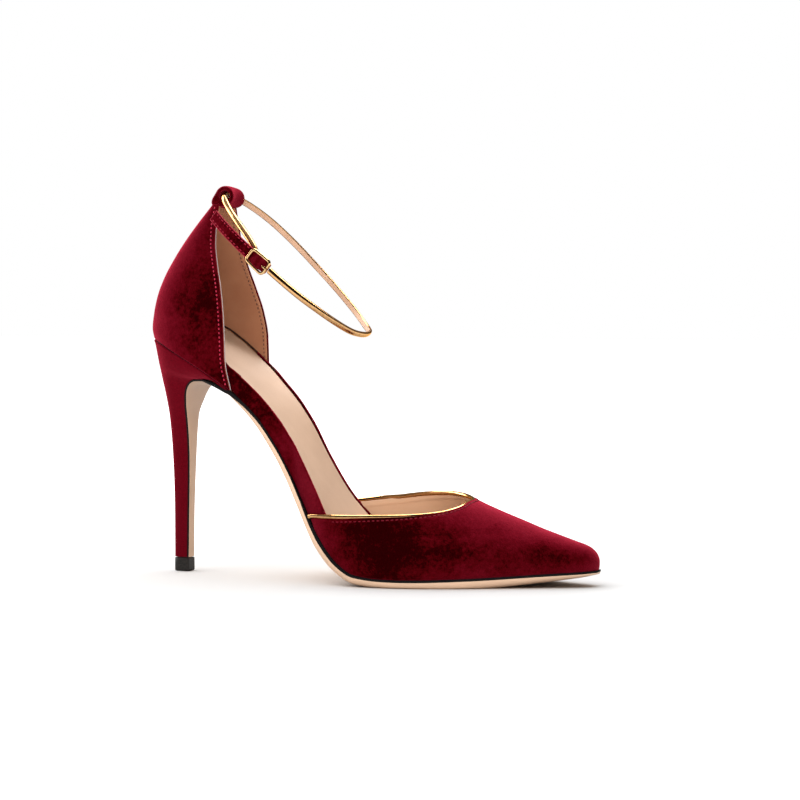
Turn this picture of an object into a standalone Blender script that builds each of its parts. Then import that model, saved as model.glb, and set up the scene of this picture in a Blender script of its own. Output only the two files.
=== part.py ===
"""Right shoe of an open-waist stiletto pump with an ankle strap, built piece by piece.

+X points to the toe, +Y to the medial side of the foot and +Z up. The sizes below are in millimetres
and are measured from the centre of the heel tip on the floor. The finished shoe is in metres, with its
origin at the bottom centre of its box.
"""

import math

import bmesh
import bpy
import numpy as np

MM = 0.001
LATERAL, MEDIAL = -1, 1
GAP = 0.3
SHARP_ANGLE = math.radians(40)
NARROWEST = 0.01
SLOPE_STEP = 0.5


class Table:
    """Rows of named columns, read smoothly along the first column."""

    def __init__(self, columns, *rows):
        self.columns = columns.split()
        self.rows = np.array(rows, float)

    def __call__(self, column, at):
        return monotone_curve(self.rows[:, 0], self.rows[:, self.columns.index(column)], at)


# Driving sizes
HEEL_HEIGHT = 104.8
TOE_TIP = 191.2
SEAT_BACK = -12.0
SEAT_FRONT = 33.0
SEAT_HALF_WIDTH = 24.2
BACK_ROUNDNESS = 2.2
WIDEST_OF_RING = 0.71
FRONT_OF_RING = 0.97
SEAT = Table(
    "x fall",
    (-12.0, 0.0),
    (-8.0, 1.3),
    (-3.0, 2.95),
    (1.5, 5.0),
    (6.0, 7.2),
    (10.5, 9.5),
    (15.0, 11.9),
    (20.0, 14.8),
    (24.0, 17.4),
    (28.5, 20.4),
    (33.0, 23.2),
)
CROWN_LEVELS = 2.0

# Last bottom: feather height, and the outline's reach to either side
LAST = Table(
    "x feather lateral medial",
    (33.0, 81.6, 23.4, 23.4),
    (39.5, 75.7, 21.9, 21.5),
    (46.0, 68.2, 20.9, 19.9),
    (53.0, 57.8, 20.6, 19.1),
    (60.0, 46.5, 22.4, 20.0),
    (66.0, 36.3, 25.6, 22.5),
    (72.0, 26.8, 29.0, 25.8),
    (78.0, 18.2, 31.8, 29.0),
    (86.5, 9.3, 34.4, 32.6),
    (94.0, 5.1, 35.6, 34.8),
    (104.0, 3.8, 35.9, 36.3),
    (114.0, 3.5, 34.9, 36.6),
    (124.0, 3.6, 32.6, 35.2),
    (136.0, 4.0, 28.6, 31.6),
    (148.0, 4.5, 23.4, 26.6),
    (160.0, 5.2, 17.8, 21.2),
    (172.0, 5.9, 12.2, 15.7),
    (184.0, 6.5, 6.7, 10.3),
    (191.2, 6.9, 3.0, 6.8),
)
TOE_NOSE = 9.0
NOSE_ROUNDNESS = 2.6
WAIST_TWIST = 4.5
TWIST_START, TWIST_END = 48.0, 98.0

# Height of the last's ridge above the feather edge; behind the throat it is the foot's instep
RIDGE = Table(
    "x height",
    (60.0, 62.0),
    (80.0, 58.5),
    (100.0, 51.0),
    (115.0, 42.5),
    (127.0, 36.0),
    (137.0, 30.6),
    (143.0, 27.9),
    (157.0, 22.0),
    (171.0, 16.0),
    (184.0, 11.0),
    (191.2, 8.8),
)
SECTION_SHOULDER = 2.2
WALL_BULGE = 1.2
BULGE_HEIGHT = 18.0
BULGE_RUN = 24.0

# Topline of the vamp, by side, from its rear corner to the throat
THROAT = 135.9
TOPLINE = {
    LATERAL: Table(
        "x height",
        (72.0, 27.7),
        (86.0, 28.1),
        (99.0, 28.8),
        (115.0, 29.6),
        (127.0, 30.9),
        (134.4, 33.2),
    ),
    MEDIAL: Table(
        "x height",
        (67.0, 29.7),
        (73.5, 29.9),
        (80.0, 30.7),
        (91.0, 32.3),
        (107.0, 34.7),
        (122.0, 36.0),
        (131.5, 35.7),
    ),
}
VAMP_WALL = 1.6
VAMP_STEPS = 25
VAMP_ROWS = 12
TOE_CROWDING = 1.5
THROAT_CROWDING = 1.79

# Heel counter, a row for each level from the seat to the neck: back point, half width, front edges
COUNTER = Table(
    "level back_x back_z half lateral_x lateral_z medial_x medial_z",
    (0, -12.0, 104.8, 24.2, 33.0, 81.6, 33.0, 81.6),
    (1, -12.8, 109.5, 23.8, 29.6, 93.0, 31.9, 93.0),
    (2, -12.1, 116.0, 22.9, 28.8, 104.0, 31.9, 104.5),
    (3, -10.5, 123.3, 21.4, 27.65, 115.0, 30.5, 115.5),
    (4, -7.4, 131.2, 18.9, 25.6, 126.0, 27.7, 126.5),
    (5, -2.7, 139.6, 15.6, 22.7, 136.5, 25.0, 137.0),
    (6, 2.6, 147.6, 12.0, 20.3, 146.5, 23.6, 147.0),
    (7, 8.4, 155.2, 8.7, 19.5, 155.3, 23.4, 155.3),
    (8, 14.4, 162.2, 6.4, 20.2, 162.4, 23.2, 161.6),
)
COUNTER_WALL = 1.8
COUNTER_ROWS = 14
RING_STEPS = 10
RING_FRONT_STEPS = 4

# Rim of the padded insole above the feather edge
RIM = Table(
    "x lateral medial",
    (-12.0, 15.2, 15.2),
    (-8.0, 14.5, 14.6),
    (-3.0, 13.75, 13.9),
    (3.0, 13.65, 14.1),
    (12.0, 13.65, 14.35),
    (18.0, 12.75, 13.55),
    (24.0, 11.75, 12.65),
    (28.5, 10.4, 12.0),
    (32.0, 8.9, 11.0),
    (40.0, 8.9, 10.8),
    (46.0, 9.75, 11.9),
    (52.0, 11.6, 13.9),
    (58.0, 13.65, 15.5),
    (64.0, 15.95, 15.4),
    (70.0, 16.9, 14.5),
    (75.0, 16.4, 13.6),
    (80.0, 13.6, 12.2),
    (88.0, 8.6, 8.0),
    (96.0, 5.0, 5.0),
    (110.0, 3.6, 3.6),
    (191.2, 2.6, 2.6),
)
BAND_START, BAND_END = 27.0, 84.0
BAND_STEPS = 20
BAND_INSET = 1.3
BAND_WALL = 1.5
BAND_ABOVE_INSOLE = 0.6
BAND_SPREAD = Table(
    "x foot",
    (27.0, 0.0),
    (33.5, 0.3),
    (37.5, 1.2),
    (57.0, 1.0),
    (64.0, 0.0),
    (84.0, 0.0),
)
INSOLE_INSET = Table(
    "x inset",
    (-12.0, 2.6),
    (10.0, 2.9),
    (27.0, 3.3),
    (84.0, 3.3),
    (92.0, 2.6),
    (191.2, 3.0),
)
INSOLE_BACK_GAP = 0.15
INSOLE_TOE_GAP = 5.0
INSOLE_DISH = 1.0
INSOLE_STATIONS = 44
INSOLE_CROWDING = 0.83
ACROSS = np.linspace(-1, 1, 7)

# Heel, a row for each level from the seat to the tip: back and breast points, and half width
HEEL = Table(
    "level back_x back_z breast_x breast_z half",
    (0, -12.0, 104.8, 31.5, 82.37, 24.2),
    (1, -10.5, 99.0, 22.8, 85.8, 22.6),
    (2, -9.6, 94.0, 17.15, 86.8, 20.0),
    (3, -8.95, 89.6, 12.25, 86.7, 16.7),
    (4, -8.2, 85.2, 8.4, 85.2, 14.3),
    (5, -7.35, 81.2, 5.9, 81.9, 12.6),
    (6, -6.8, 76.5, 4.45, 77.0, 10.1),
    (7, -6.35, 70.0, 3.4, 69.9, 6.6),
    (8, -5.5, 57.0, 3.3, 55.0, 4.1),
    (9, -4.8, 42.0, 3.0, 42.0, 3.3),
    (10, -4.5, 28.0, 2.6, 28.0, 2.95),
    (11, -4.4, 6.5, 2.25, 6.5, 2.85),
)
HEEL_ROWS = 18
BREAST_STEPS = 4
TIP_TOP = 6.1
TIP_BEVEL = 0.5
TIP_FRONT = 3.55
TIP_MARGIN = 0.15

# Outsole: thickness at its middle; the bottom rounds up to a thin edge
SOLE = Table(
    "x thickness edge",
    (33.0, 2.2, 1.5),
    (37.5, 3.3, 1.3),
    (43.0, 3.9, 1.05),
    (46.0, 4.1, 0.9),
    (53.0, 4.3, 0.7),
    (60.0, 4.2, 0.5),
    (66.0, 4.1, 0.45),
    (69.5, 4.2, 0.8),
    (72.0, 4.4, 1.05),
    (78.0, 4.9, 1.3),
    (86.5, 4.7, 1.15),
    (94.0, 4.5, 1.0),
    (102.0, 4.4, 0.9),
    (140.0, 5.2, 0.9),
    (150.0, 4.8, 0.9),
    (172.0, 3.6, 0.85),
    (184.0, 2.6, 0.8),
    (191.2, 1.5, 0.7),
)
SOLE_MARGIN = 0.5
TOE_MARGIN = 0.1
SOLE_ROUND = 6.0
SOLE_ROUND_STEPS = 4
SOLE_ROUND_SHARE = 0.6
FLAP = Table(
    "level thickness edge",
    (0, 1.9, 1.5),
    (1, 1.3, 1.15),
    (2, 1.1, 0.65),
    (3, 1.2, 0.7),
    (11, 1.2, 0.7),
)
SOLE_STATIONS = 38
SOLE_CROWDING = 1.25
SOLE_TIP_GAP = 0.05

# Cord along the topline; near the vamp's corners it stands off the waist bands
PIPING_RADIUS = 1.05
PIPING_SIDES = 8
PIPING_SHIFT_RUN = 8.0
PIPING_STAND_OFF = 0.5

# Ankle strap: its route from the buckle round the front, the medial side and the keeper to the buckle
STRAP_WIDTH = 2.9
STRAP_CROWN = 1.0
STRAP_FLAT = 0.65
STRAP_CROWN_STEPS = 7
STRAP_ROUTE = (
    (53.6, -30.2, 134.2),
    (60.0, -30.0, 128.9),
    (67.4, -28.8, 122.8),
    (74.6, -25.7, 117.0),
    (80.5, -20.6, 111.9),
    (85.0, -12.4, 107.7),
    (87.5, -3.5, 106.4),
    (86.7, 5.0, 107.5),
    (82.2, 12.5, 110.0),
    (74.0, 20.5, 116.7),
    (63.2, 26.6, 126.3),
    (53.5, 28.4, 135.7),
    (42.9, 25.8, 147.2),
    (33.9, 19.5, 157.1),
    (27.0, 10.8, 164.0),
    (22.6, 3.5, 167.1),
    (21.6, -1.8, 167.6),
    (22.6, -6.6, 166.0),
    (26.7, -11.2, 161.8),
    (32.2, -16.4, 156.8),
    (36.9, -20.4, 152.7),
    (42.2, -24.6, 147.8),
    (45.7, -27.2, 143.6),
    (47.6, -28.2, 139.8),
)
STRAP_STEPS = 60
ROUTE_FINENESS = 24

# Buckle, in its own plane: along the strap, across it and outwards
BUCKLE_CENTRE = (49.05, -30.2, 138.05)
BUCKLE_SLOPE = math.radians(40.0)
BUCKLE_LENGTH = 11.2
BUCKLE_WIDTH = 7.7
BUCKLE_TAPER = 0.07
BUCKLE_CORNER = 1.5
BUCKLE_CORNER_STEPS = 5
BUCKLE_WIRE = 0.55
WIRE_SIDES = 8
BUCKLE_LIFT = 1.35
CENTRE_BAR_RADIUS = 0.45
CENTRE_BAR_LIFT = 0.5
PRONG_RADIUS = 0.38
PRONG_ROUTE = Table(
    "along outwards",
    (1.9, 2.75),
    (3.0, 2.8),
    (5.05, 2.6),
    (5.8, 2.45),
)

# Tail, from under the front bar over the centre bar and under the rear bar to its cut end
TAIL_WIDTH = 4.8
TAIL_THICKNESS = 1.0
TAIL_ROUTE = Table(
    "along outwards",
    (-31.4, -6.9),
    (-24.0, -3.6),
    (-17.0, -1.5),
    (-10.0, -0.3),
    (-6.1, 0.0),
    (-4.2, 0.0),
    (0.0, 1.75),
    (4.2, 0.0),
    (5.4, 0.0),
)
TAIL_STEPS = 34

# Keeper on the neck: a folded loop with the strap's tunnel across it
KEEPER_CENTRE = (21.5, 167.8)
KEEPER_RADIUS = 4.5
KEEPER_TUNNEL = 2.5
KEEPER_HALF_WIDTH = 5.4
KEEPER_FOOT_ANGLE = math.radians(217)
KEEPER_FOOT_REACH = 2.9
KEEPER_FOOT_SPREAD = math.radians(24)
KEEPER_EDGE = 0.8
KEEPER_BEND = (0.04, -0.022)
KEEPER_BEND_MIDDLE = -1.5
KEEPER_SIDES = 24

# Base colour, roughness and metallic value of each finish
COLOURS = {
    "velvet": ((0.16, 0.006, 0.02), 0.75, 0.0),
    "leather": ((0.72, 0.43, 0.29), 0.5, 0.0),
    "gold": ((0.83, 0.55, 0.2), 0.2, 1.0),
    "black": ((0.02, 0.02, 0.02), 0.5, 0.0),
}


def monotone_curve(knots, values, at):
    """Cubic through the knots that doesn't overshoot between them."""
    at = np.clip(at, knots[0], knots[-1])
    run = np.diff(knots)
    rise = np.diff(values) / run
    slope = np.concatenate(([rise[0]], np.zeros(len(run) - 1), [rise[-1]]))
    before, after = rise[:-1], rise[1:]
    turning = before * after <= 0
    total = np.where(turning, 1.0, before + after)
    slope[1:-1] = np.where(turning, 0.0, 2 * before * after / total)
    i = np.clip(np.searchsorted(knots, at, side="right") - 1, 0, len(run) - 1)
    s = (at - knots[i]) / run[i]
    start = (1 + 2 * s) * (1 - s) ** 2 * values[i] + s * (1 - s) ** 2 * run[i] * slope[i]
    end = s**2 * (3 - 2 * s) * values[i + 1] + s**2 * (s - 1) * run[i] * slope[i + 1]
    return start + end


def smooth_route(points, steps):
    """Evenly spaced points on a smooth curve through the route's own points."""
    points = np.array(points, float)
    ends = np.vstack([2 * points[0] - points[1], points, 2 * points[-1] - points[-2]])
    fine = []
    for before, start, end, after in zip(ends, ends[1:], ends[2:], ends[3:]):
        s = np.linspace(0, 1, ROUTE_FINENESS, endpoint=False)[:, None]
        pull = (end - before) / 2
        leave = (after - start) / 2
        fine.append(
            (1 + 2 * s) * (1 - s) ** 2 * start + s * (1 - s) ** 2 * pull
            + s**2 * (3 - 2 * s) * end + s**2 * (s - 1) * leave
        )
    fine = np.vstack(fine + [points[-1:]])
    travelled = np.concatenate(([0], np.cumsum(np.linalg.norm(np.diff(fine, axis=0), axis=1))))
    even = np.linspace(0, travelled[-1], steps + 1)
    return np.column_stack([np.interp(even, travelled, fine[:, axis]) for axis in range(3)])


def unit(vectors):
    return vectors / np.linalg.norm(vectors, axis=-1, keepdims=True)


def material(name, finish):
    """A piece's own Principled material."""
    colour, roughness, metallic = COLOURS[finish]
    made = bpy.data.materials.new(f"{name}_{finish}")
    made.use_nodes = True
    shader = made.node_tree.nodes["Principled BSDF"]
    shader.inputs["Base Color"].default_value = (*colour, 1)
    shader.inputs["Roughness"].default_value = roughness
    shader.inputs["Metallic"].default_value = metallic
    return made


def solid(name, points, faces, finish):
    """Closed mesh object from points in millimetres."""
    mesh = bpy.data.meshes.new(name)
    mesh.from_pydata([tuple(point) for point in np.array(points) * MM], [], faces)
    work = bmesh.new()
    work.from_mesh(mesh)
    bmesh.ops.recalc_face_normals(work, faces=work.faces)
    work.to_mesh(mesh)
    work.free()
    mesh.shade_smooth()
    mesh.set_sharp_from_angle(angle=SHARP_ANGLE)
    mesh.materials.append(material(name, finish))
    made = bpy.data.objects.new(name, mesh)
    bpy.context.scene.collection.objects.link(made)
    return made


def loft(name, loops, finish, closed=False):
    """Solid through loops of equally many points, capped at both ends unless it closes on itself."""
    loops = np.array(loops)
    count, around = loops.shape[:2]
    faces = []
    for i in range(count if closed else count - 1):
        here = i * around
        there = (i + 1) % count * around
        for k in range(around):
            n = (k + 1) % around
            faces.append((here + k, here + n, there + n, there + k))
    if not closed:
        faces.append(tuple(range(around)))
        faces.append(tuple(range((count - 1) * around, count * around)))
    return solid(name, loops.reshape(-1, 3), faces, finish)


def shell(name, outer, inner, finish):
    """Wall between an outer and an inner grid of points, with its four rims."""
    rows, columns = outer.shape[:2]
    size = rows * columns
    faces = []
    for i in range(rows - 1):
        for j in range(columns - 1):
            here, there = i * columns + j, (i + 1) * columns + j
            corners = (here, there, there + 1, here + 1)
            faces.append(corners)
            faces.append(tuple(size + corner for corner in reversed(corners)))
    bottom = [i * columns for i in range(rows)]
    top = [i * columns + columns - 1 for i in range(rows)]
    first = list(range(columns))
    last = list(range(size - columns, size))
    for rim in (bottom, top, first, last):
        for a, b in zip(rim, rim[1:]):
            faces.append((a, b, size + b, size + a))
    return solid(name, np.vstack([outer.reshape(-1, 3), inner.reshape(-1, 3)]), faces, finish)


def inner_wall(outer, wall):
    """The grid moved inwards by a wall, for a grid that runs clockwise seen from above and then upwards."""
    along = np.gradient(outer, axis=0)
    up = np.gradient(outer, axis=1)
    return outer - wall * unit(np.cross(along, up))


def form(made):
    """Marks an object as a form that a Boolean joins to another."""
    made.hide_render = True
    made.display_type = "WIRE"
    return made


def join(made, *forms):
    """Joins forms to an object, which keeps one closed surface."""
    for other in forms:
        boolean = made.modifiers.new(other.name, "BOOLEAN")
        boolean.operation = "UNION"
        boolean.solver = "EXACT"
        boolean.object = form(other)
    return made


def ring_reach(along):
    """Half width of a heel ring, as a share, from its back at 0 to its front edge at 1."""
    back = np.clip(1 - along / WIDEST_OF_RING, 0, 1)
    front = np.clip((along - WIDEST_OF_RING) / (1 - WIDEST_OF_RING), 0, 1)
    return (1 - back**BACK_ROUNDNESS) ** (1 / BACK_ROUNDNESS) - (1 - FRONT_OF_RING) * front**2


def half_ring():
    """Shares along a heel ring, from the lateral front edge round the back to the medial front edge."""
    turn = np.linspace(0, 1, RING_STEPS)
    round_part = WIDEST_OF_RING * (1 - np.cos(turn * math.pi / 2))
    straight = np.linspace(WIDEST_OF_RING, 1, RING_FRONT_STEPS + 1)[1:]
    along = np.concatenate([round_part, straight])
    return np.concatenate([-along[:0:-1], along])


def twist(x):
    """How far the medial feather edge lies behind the lateral one in the waist."""
    share = np.clip((x - TWIST_START) / (TWIST_END - TWIST_START), 0, 1)
    return WAIST_TWIST * np.sin(math.pi * share) ** 2


def nose_share(x):
    """Share of the way through the toe's nose, from its start to the tip."""
    return np.clip((x - TOE_TIP + TOE_NOSE) / TOE_NOSE, 0, 1)


def nose(x):
    """Rounding of the toe's outline and ridge, from 1 behind the nose to 0 at the tip."""
    return (1 - nose_share(x) ** NOSE_ROUNDNESS) ** (1 / NOSE_ROUNDNESS)


def outline(x):
    """Middle and half width of the feather outline at a distance x."""
    seat = SEAT_HALF_WIDTH * ring_reach((x - SEAT_BACK) / (SEAT_FRONT - SEAT_BACK))
    lateral, medial = LAST("lateral", x), LAST("medial", x)
    fore = (lateral + medial) / 2 * nose(x)
    middle = np.where(x < SEAT_FRONT, 0, (medial - lateral) / 2)
    return middle, np.where(x < SEAT_FRONT, seat, fore)


def feather(x, y):
    """Height of the last's bottom."""
    middle, half = outline(x)
    share = np.clip((y - middle) / np.maximum(half, NARROWEST), -1, 1)
    seat = HEEL_HEIGHT - SEAT("fall", x)
    return np.where(x < SEAT_FRONT, seat, LAST("feather", x + twist(x) * (1 + share) / 2))


def seat_crown(x):
    """How far the seat's edge stands above a straight line from its back to its front."""
    x = np.clip(x, SEAT_BACK, SEAT_FRONT)
    share = (x - SEAT_BACK) / (SEAT_FRONT - SEAT_BACK)
    return SEAT("fall", SEAT_FRONT) * share - SEAT("fall", x)


def above_sole(x, y):
    """Height of a piece that rests on the outsole or the heel, with its gap square to the slope."""
    slope = (feather(x + SLOPE_STEP, y) - feather(x - SLOPE_STEP, y)) / (2 * SLOPE_STEP)
    return feather(x, y) + GAP * np.sqrt(1 + slope**2)


def rim(x, y):
    """Height of the insole's rim above the feather edge, which stands higher on one side in the waist."""
    middle, half = outline(x)
    share = np.clip((y - middle) / np.maximum(half, NARROWEST), -1, 1)
    lateral, medial = RIM("lateral", x), RIM("medial", x)
    return lateral + (medial - lateral) * (1 + share) / 2


def ridge(x):
    return RIDGE("height", x) * nose(x)


def vamp_height(x, y):
    """Height of the vamp's outside over a point of the plan."""
    middle, half = outline(x)
    share = np.clip(np.abs(y - middle) / np.maximum(half, NARROWEST), 0, 1)
    return ridge(x) * (1 - share**SECTION_SHOULDER) ** (1 / SECTION_SHOULDER)


def topline_y(x, side):
    """Where the topline lies across the foot, from its height."""
    middle, half = outline(x)
    edge = feather(x, middle + side * half)
    rows = TOPLINE[side].rows
    knots = np.append(rows[:, 0], THROAT)
    heights = np.append(rows[:, 1], feather(THROAT, 0.0) + ridge(THROAT))
    share = np.clip((monotone_curve(knots, heights, x) - edge) / ridge(x), 0, 1)
    return middle + side * half * (1 - share**SECTION_SHOULDER) ** (1 / SECTION_SHOULDER)


def vamp_grid():
    """Outside of the vamp: from the lateral corner round the toe to the medial one, up to the topline."""
    steps = np.linspace(-1, 1, 2 * VAMP_STEPS + 1)
    side = np.where(steps > 0, MEDIAL, LATERAL)
    corner = np.where(steps > 0, TOPLINE[MEDIAL].rows[0, 0], TOPLINE[LATERAL].rows[0, 0])
    back = np.abs(steps) ** TOE_CROWDING
    foot_x = TOE_TIP - (TOE_TIP - corner) * back
    top_x = THROAT - (THROAT - corner) * back**THROAT_CROWDING
    middle, half = outline(foot_x)
    feet = np.column_stack([foot_x, middle + side * half])
    tops = np.column_stack([top_x, [topline_y(x, s) for x, s in zip(top_x, side)]])
    along = unit(np.gradient(feet, axis=0))
    outwards = np.column_stack([along[:, 1], -along[:, 0]])
    fullness = WALL_BULGE * np.clip((foot_x - BAND_END) / BULGE_RUN, 0, 1)
    grid = []
    for climb in np.linspace(0, 1, VAMP_ROWS + 1) ** SECTION_SHOULDER:
        plan = feet + (tops - feet) * climb
        rise = vamp_height(plan[:, 0], plan[:, 1])
        height = above_sole(plan[:, 0], plan[:, 1]) + rise
        bulge = fullness * np.sin(math.pi * np.clip(rise / BULGE_HEIGHT, 0, 1))
        grid.append(np.column_stack([plan + outwards * bulge[:, None], height]))
    return np.stack(grid, axis=1)


def counter_grid():
    """Outside of the counter: from the medial front edge round the back to the lateral, up to the neck."""
    ring = half_ring()[::-1]
    along, side = np.abs(ring), np.sign(ring)
    columns = []
    for level in np.linspace(0, len(COUNTER.rows) - 1, COUNTER_ROWS + 1):
        row = {name: COUNTER(name, level) for name in COUNTER.columns}
        front_x = np.where(side > 0, row["medial_x"], row["lateral_x"])
        front_z = np.where(side > 0, row["medial_z"], row["lateral_z"])
        x = row["back_x"] + (front_x - row["back_x"]) * along
        z = row["back_z"] + (front_z - row["back_z"]) * along + GAP
        z = z + seat_crown(x) * max(1 - level / CROWN_LEVELS, 0)
        columns.append(np.column_stack([x, side * row["half"] * ring_reach(along), z]))
    return np.stack(columns, axis=1)


def waist_band(name, side):
    """Low wall beside the insole that joins counter and vamp on one side."""
    x = np.linspace(BAND_START, BAND_END, BAND_STEPS)
    middle, half = outline(x)
    walls = []
    for inset, spread in ((BAND_INSET, BAND_SPREAD("foot", x)), (BAND_INSET + BAND_WALL, 0)):
        y = middle + side * (half - inset)
        foot_y = y + side * spread
        foot = np.column_stack([x, foot_y, above_sole(x, foot_y) + GAP / 2])
        top = np.column_stack([x, y, feather(x, y) + rim(x, y) + BAND_ABOVE_INSOLE])
        walls.append(np.stack([foot, top], axis=1))
    return shell(name, *walls, "velvet")


def make_upper():
    """One hollow wall: heel counter, two waist bands and vamp."""
    counter = counter_grid()
    vamp = vamp_grid()
    made = shell("upper", counter, inner_wall(counter, COUNTER_WALL), "velvet")
    vamp_form = shell("vamp_form", vamp, inner_wall(vamp, VAMP_WALL), "velvet")
    bands = [waist_band("lateral_band", LATERAL), waist_band("medial_band", MEDIAL)]
    return join(made, *bands, vamp_form)


def make_insole():
    """Padded insole: a loft of sections from the back of the seat to the toe."""
    turn = np.linspace(0, 1, INSOLE_STATIONS)
    ease = turn - INSOLE_CROWDING * np.sin(2 * math.pi * turn) / (2 * math.pi)
    start = SEAT_BACK + INSOLE_INSET("inset", SEAT_BACK) + INSOLE_BACK_GAP
    stations = start + (TOE_TIP - INSOLE_TOE_GAP - start) * ease
    loops = []
    for x in np.sort(np.append(stations, SEAT_FRONT)):
        inset = INSOLE_INSET("inset", x)
        middle, half = outline(x)
        if x < SEAT_FRONT:
            share = (x - SEAT_BACK - inset) / (SEAT_FRONT - SEAT_BACK - inset)
            half = inset + (SEAT_HALF_WIDTH - inset) * ring_reach(share)
        y = middle + (half - inset) * ACROSS
        bottom = above_sole(x, y)
        top = feather(x, y) + rim(x, y) - INSOLE_DISH * (1 - ACROSS**2)
        under = np.column_stack([np.full_like(y, x), y, bottom])
        over = np.column_stack([np.full_like(y, x), y, top])
        loops.append(np.vstack([under, over[::-1]]))
    return loft("insole", loops, "leather")


def heel_levels():
    return np.linspace(0, len(HEEL.rows) - 1, HEEL_ROWS + 1)


def sole_section(half, thickness, edge):
    """Places across the sole and its depth there: a thin edge, a round, then flat to the middle."""
    turn = np.linspace(0, math.pi / 2, SOLE_ROUND_STEPS)
    round_width = min(SOLE_ROUND, half * SOLE_ROUND_SHARE)
    across = half - round_width * (1 - np.cos(turn))
    depth = edge + (thickness - edge) * np.sin(turn)
    across = np.concatenate([-across, [0], across[::-1]])
    return across, np.concatenate([depth, [thickness], depth[::-1]])


def sole_under_foot():
    """Top points and depths of the sole's sections from the toe to the seat."""
    turn = np.linspace(0, 1, SOLE_STATIONS)
    length = TOE_TIP - SEAT_FRONT + TOE_MARGIN
    tops, depths = [], []
    for x in TOE_TIP + TOE_MARGIN - SOLE_TIP_GAP - length * turn**SOLE_CROWDING:
        middle, half = outline(min(x, TOE_TIP) - SOLE_MARGIN * nose_share(x))
        across, depth = sole_section(half + SOLE_MARGIN, SOLE("thickness", x), SOLE("edge", x))
        y = middle + across
        tops.append(np.column_stack([np.full_like(y, x), y, feather(x, y)]))
        depths.append(depth)
    return tops, depths


def sole_on_heel():
    """Top points and depths of the sole's sections down the heel's breast."""
    tops, depths = [], []
    for level in heel_levels()[1:]:
        half = HEEL("half", level) * FRONT_OF_RING
        y, depth = sole_section(half, FLAP("thickness", level), FLAP("edge", level))
        x, z = HEEL("breast_x", level), HEEL("breast_z", level)
        tops.append(np.column_stack([np.full_like(y, x), y, np.full_like(y, z)]))
        depths.append(depth + GAP)
    return tops, depths


def make_outsole():
    """Leather sole: sections across the foot, swept from the toe over the arch to the heel's end."""
    tops, depths = sole_under_foot()
    flap_tops, flap_depths = sole_on_heel()
    gaps = [0] * len(tops) + [GAP] * len(flap_tops)
    tops = np.array(tops + flap_tops)
    depths = np.array(depths + flap_depths)
    along = unit(np.gradient(tops[:, tops.shape[1] // 2] * (1, 0, 1), axis=0))
    down = np.column_stack([-along[:, 2], np.zeros(len(along)), along[:, 0]])[:, None]
    bottoms = tops + down * depths[..., None]
    bottoms[..., 2] = np.maximum(bottoms[..., 2], 0)
    tops = tops + down * np.array(gaps)[:, None, None]
    return loft("outsole", np.concatenate([tops, bottoms[:, ::-1]], axis=1), "leather")


def make_heel():
    """Stiletto heel: rings from the sloping seat to the small end, flat at the breast."""
    ring = half_ring()
    along, side = np.abs(ring), np.sign(ring)
    loops = []
    for level in heel_levels():
        row = {name: HEEL(name, level) for name in HEEL.columns}
        x = row["back_x"] + (row["breast_x"] - row["back_x"]) * along
        z = row["back_z"] + (row["breast_z"] - row["back_z"]) * along
        z = z + seat_crown(x) * max(1 - level / CROWN_LEVELS, 0)
        y = side * row["half"] * ring_reach(along)
        arc = np.column_stack([x, y, z])
        shares = np.arange(1, BREAST_STEPS) / BREAST_STEPS
        breast = [arc[-1] + (arc[0] - arc[-1]) * share for share in shares]
        loops.append(np.vstack([arc, breast]))
    return loft("heel", loops, "velvet")


def make_heel_tip():
    """Top piece under the heel's end, with a flat foot."""
    ring = half_ring()
    along, side = np.abs(ring), np.sign(ring)
    end = HEEL.rows[-1]
    back = end[HEEL.columns.index("back_x")] - TIP_MARGIN
    half = end[HEEL.columns.index("half")] + TIP_MARGIN
    middle = (back + TIP_FRONT) / 2
    loops = []
    for height, shrink in ((TIP_TOP, 0), (TIP_BEVEL, 0), (0, TIP_BEVEL)):
        scale = 1 - shrink / half
        x = middle + (back + (TIP_FRONT - back) * along - middle) * scale
        y = side * half * ring_reach(along) * scale
        loops.append(np.column_stack([x, y, np.full_like(x, height)]))
    return loft("heel_tip", loops, "black")


def sweep(name, path, across, profile, finish, closed=False):
    """Profile of (across, outwards) points carried along a path; across gives the profile's first axis."""
    if closed:
        along = unit(np.roll(path, -1, axis=0) - np.roll(path, 1, axis=0))
    else:
        along = unit(np.gradient(path, axis=0))
    across = unit(across - along * np.sum(across * along, axis=1, keepdims=True))
    outwards = np.cross(along, across)
    loops = [
        [place + sideways * a + out * b for a, b in profile]
        for place, sideways, out in zip(path, across, outwards)
    ]
    return loft(name, loops, finish, closed)


def circle(radius, sides):
    turns = np.arange(sides) * 2 * math.pi / sides
    return np.column_stack([radius * np.cos(turns), radius * np.sin(turns)])


def make_piping():
    """Round cord on the vamp's top edge."""
    outer = vamp_grid()
    inner = inner_wall(outer, VAMP_WALL)
    up = unit(outer[:, -1] - outer[:, -2])
    past_band = np.clip((outer[:, -1, :1] - BAND_END) / PIPING_SHIFT_RUN, 0, 1)
    inwards = (inner - outer)[:, -1] / VAMP_WALL
    inset = VAMP_WALL / 2 * past_band - PIPING_STAND_OFF * (1 - past_band)
    path = outer[:, -1] + inwards * inset + up * (PIPING_RADIUS + GAP)
    return sweep("vamp_piping", path, up, circle(PIPING_RADIUS, PIPING_SIDES), "gold")


def strap_profile():
    """Half-round section: flat towards the ankle, round outside."""
    turns = np.linspace(0, math.pi, STRAP_CROWN_STEPS)
    crown = np.column_stack([np.cos(turns) * STRAP_WIDTH / 2, np.sin(turns) * STRAP_CROWN])
    flat = [(-STRAP_WIDTH / 2, -STRAP_FLAT), (STRAP_WIDTH / 2, -STRAP_FLAT)]
    return np.vstack([crown, flat])


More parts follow.
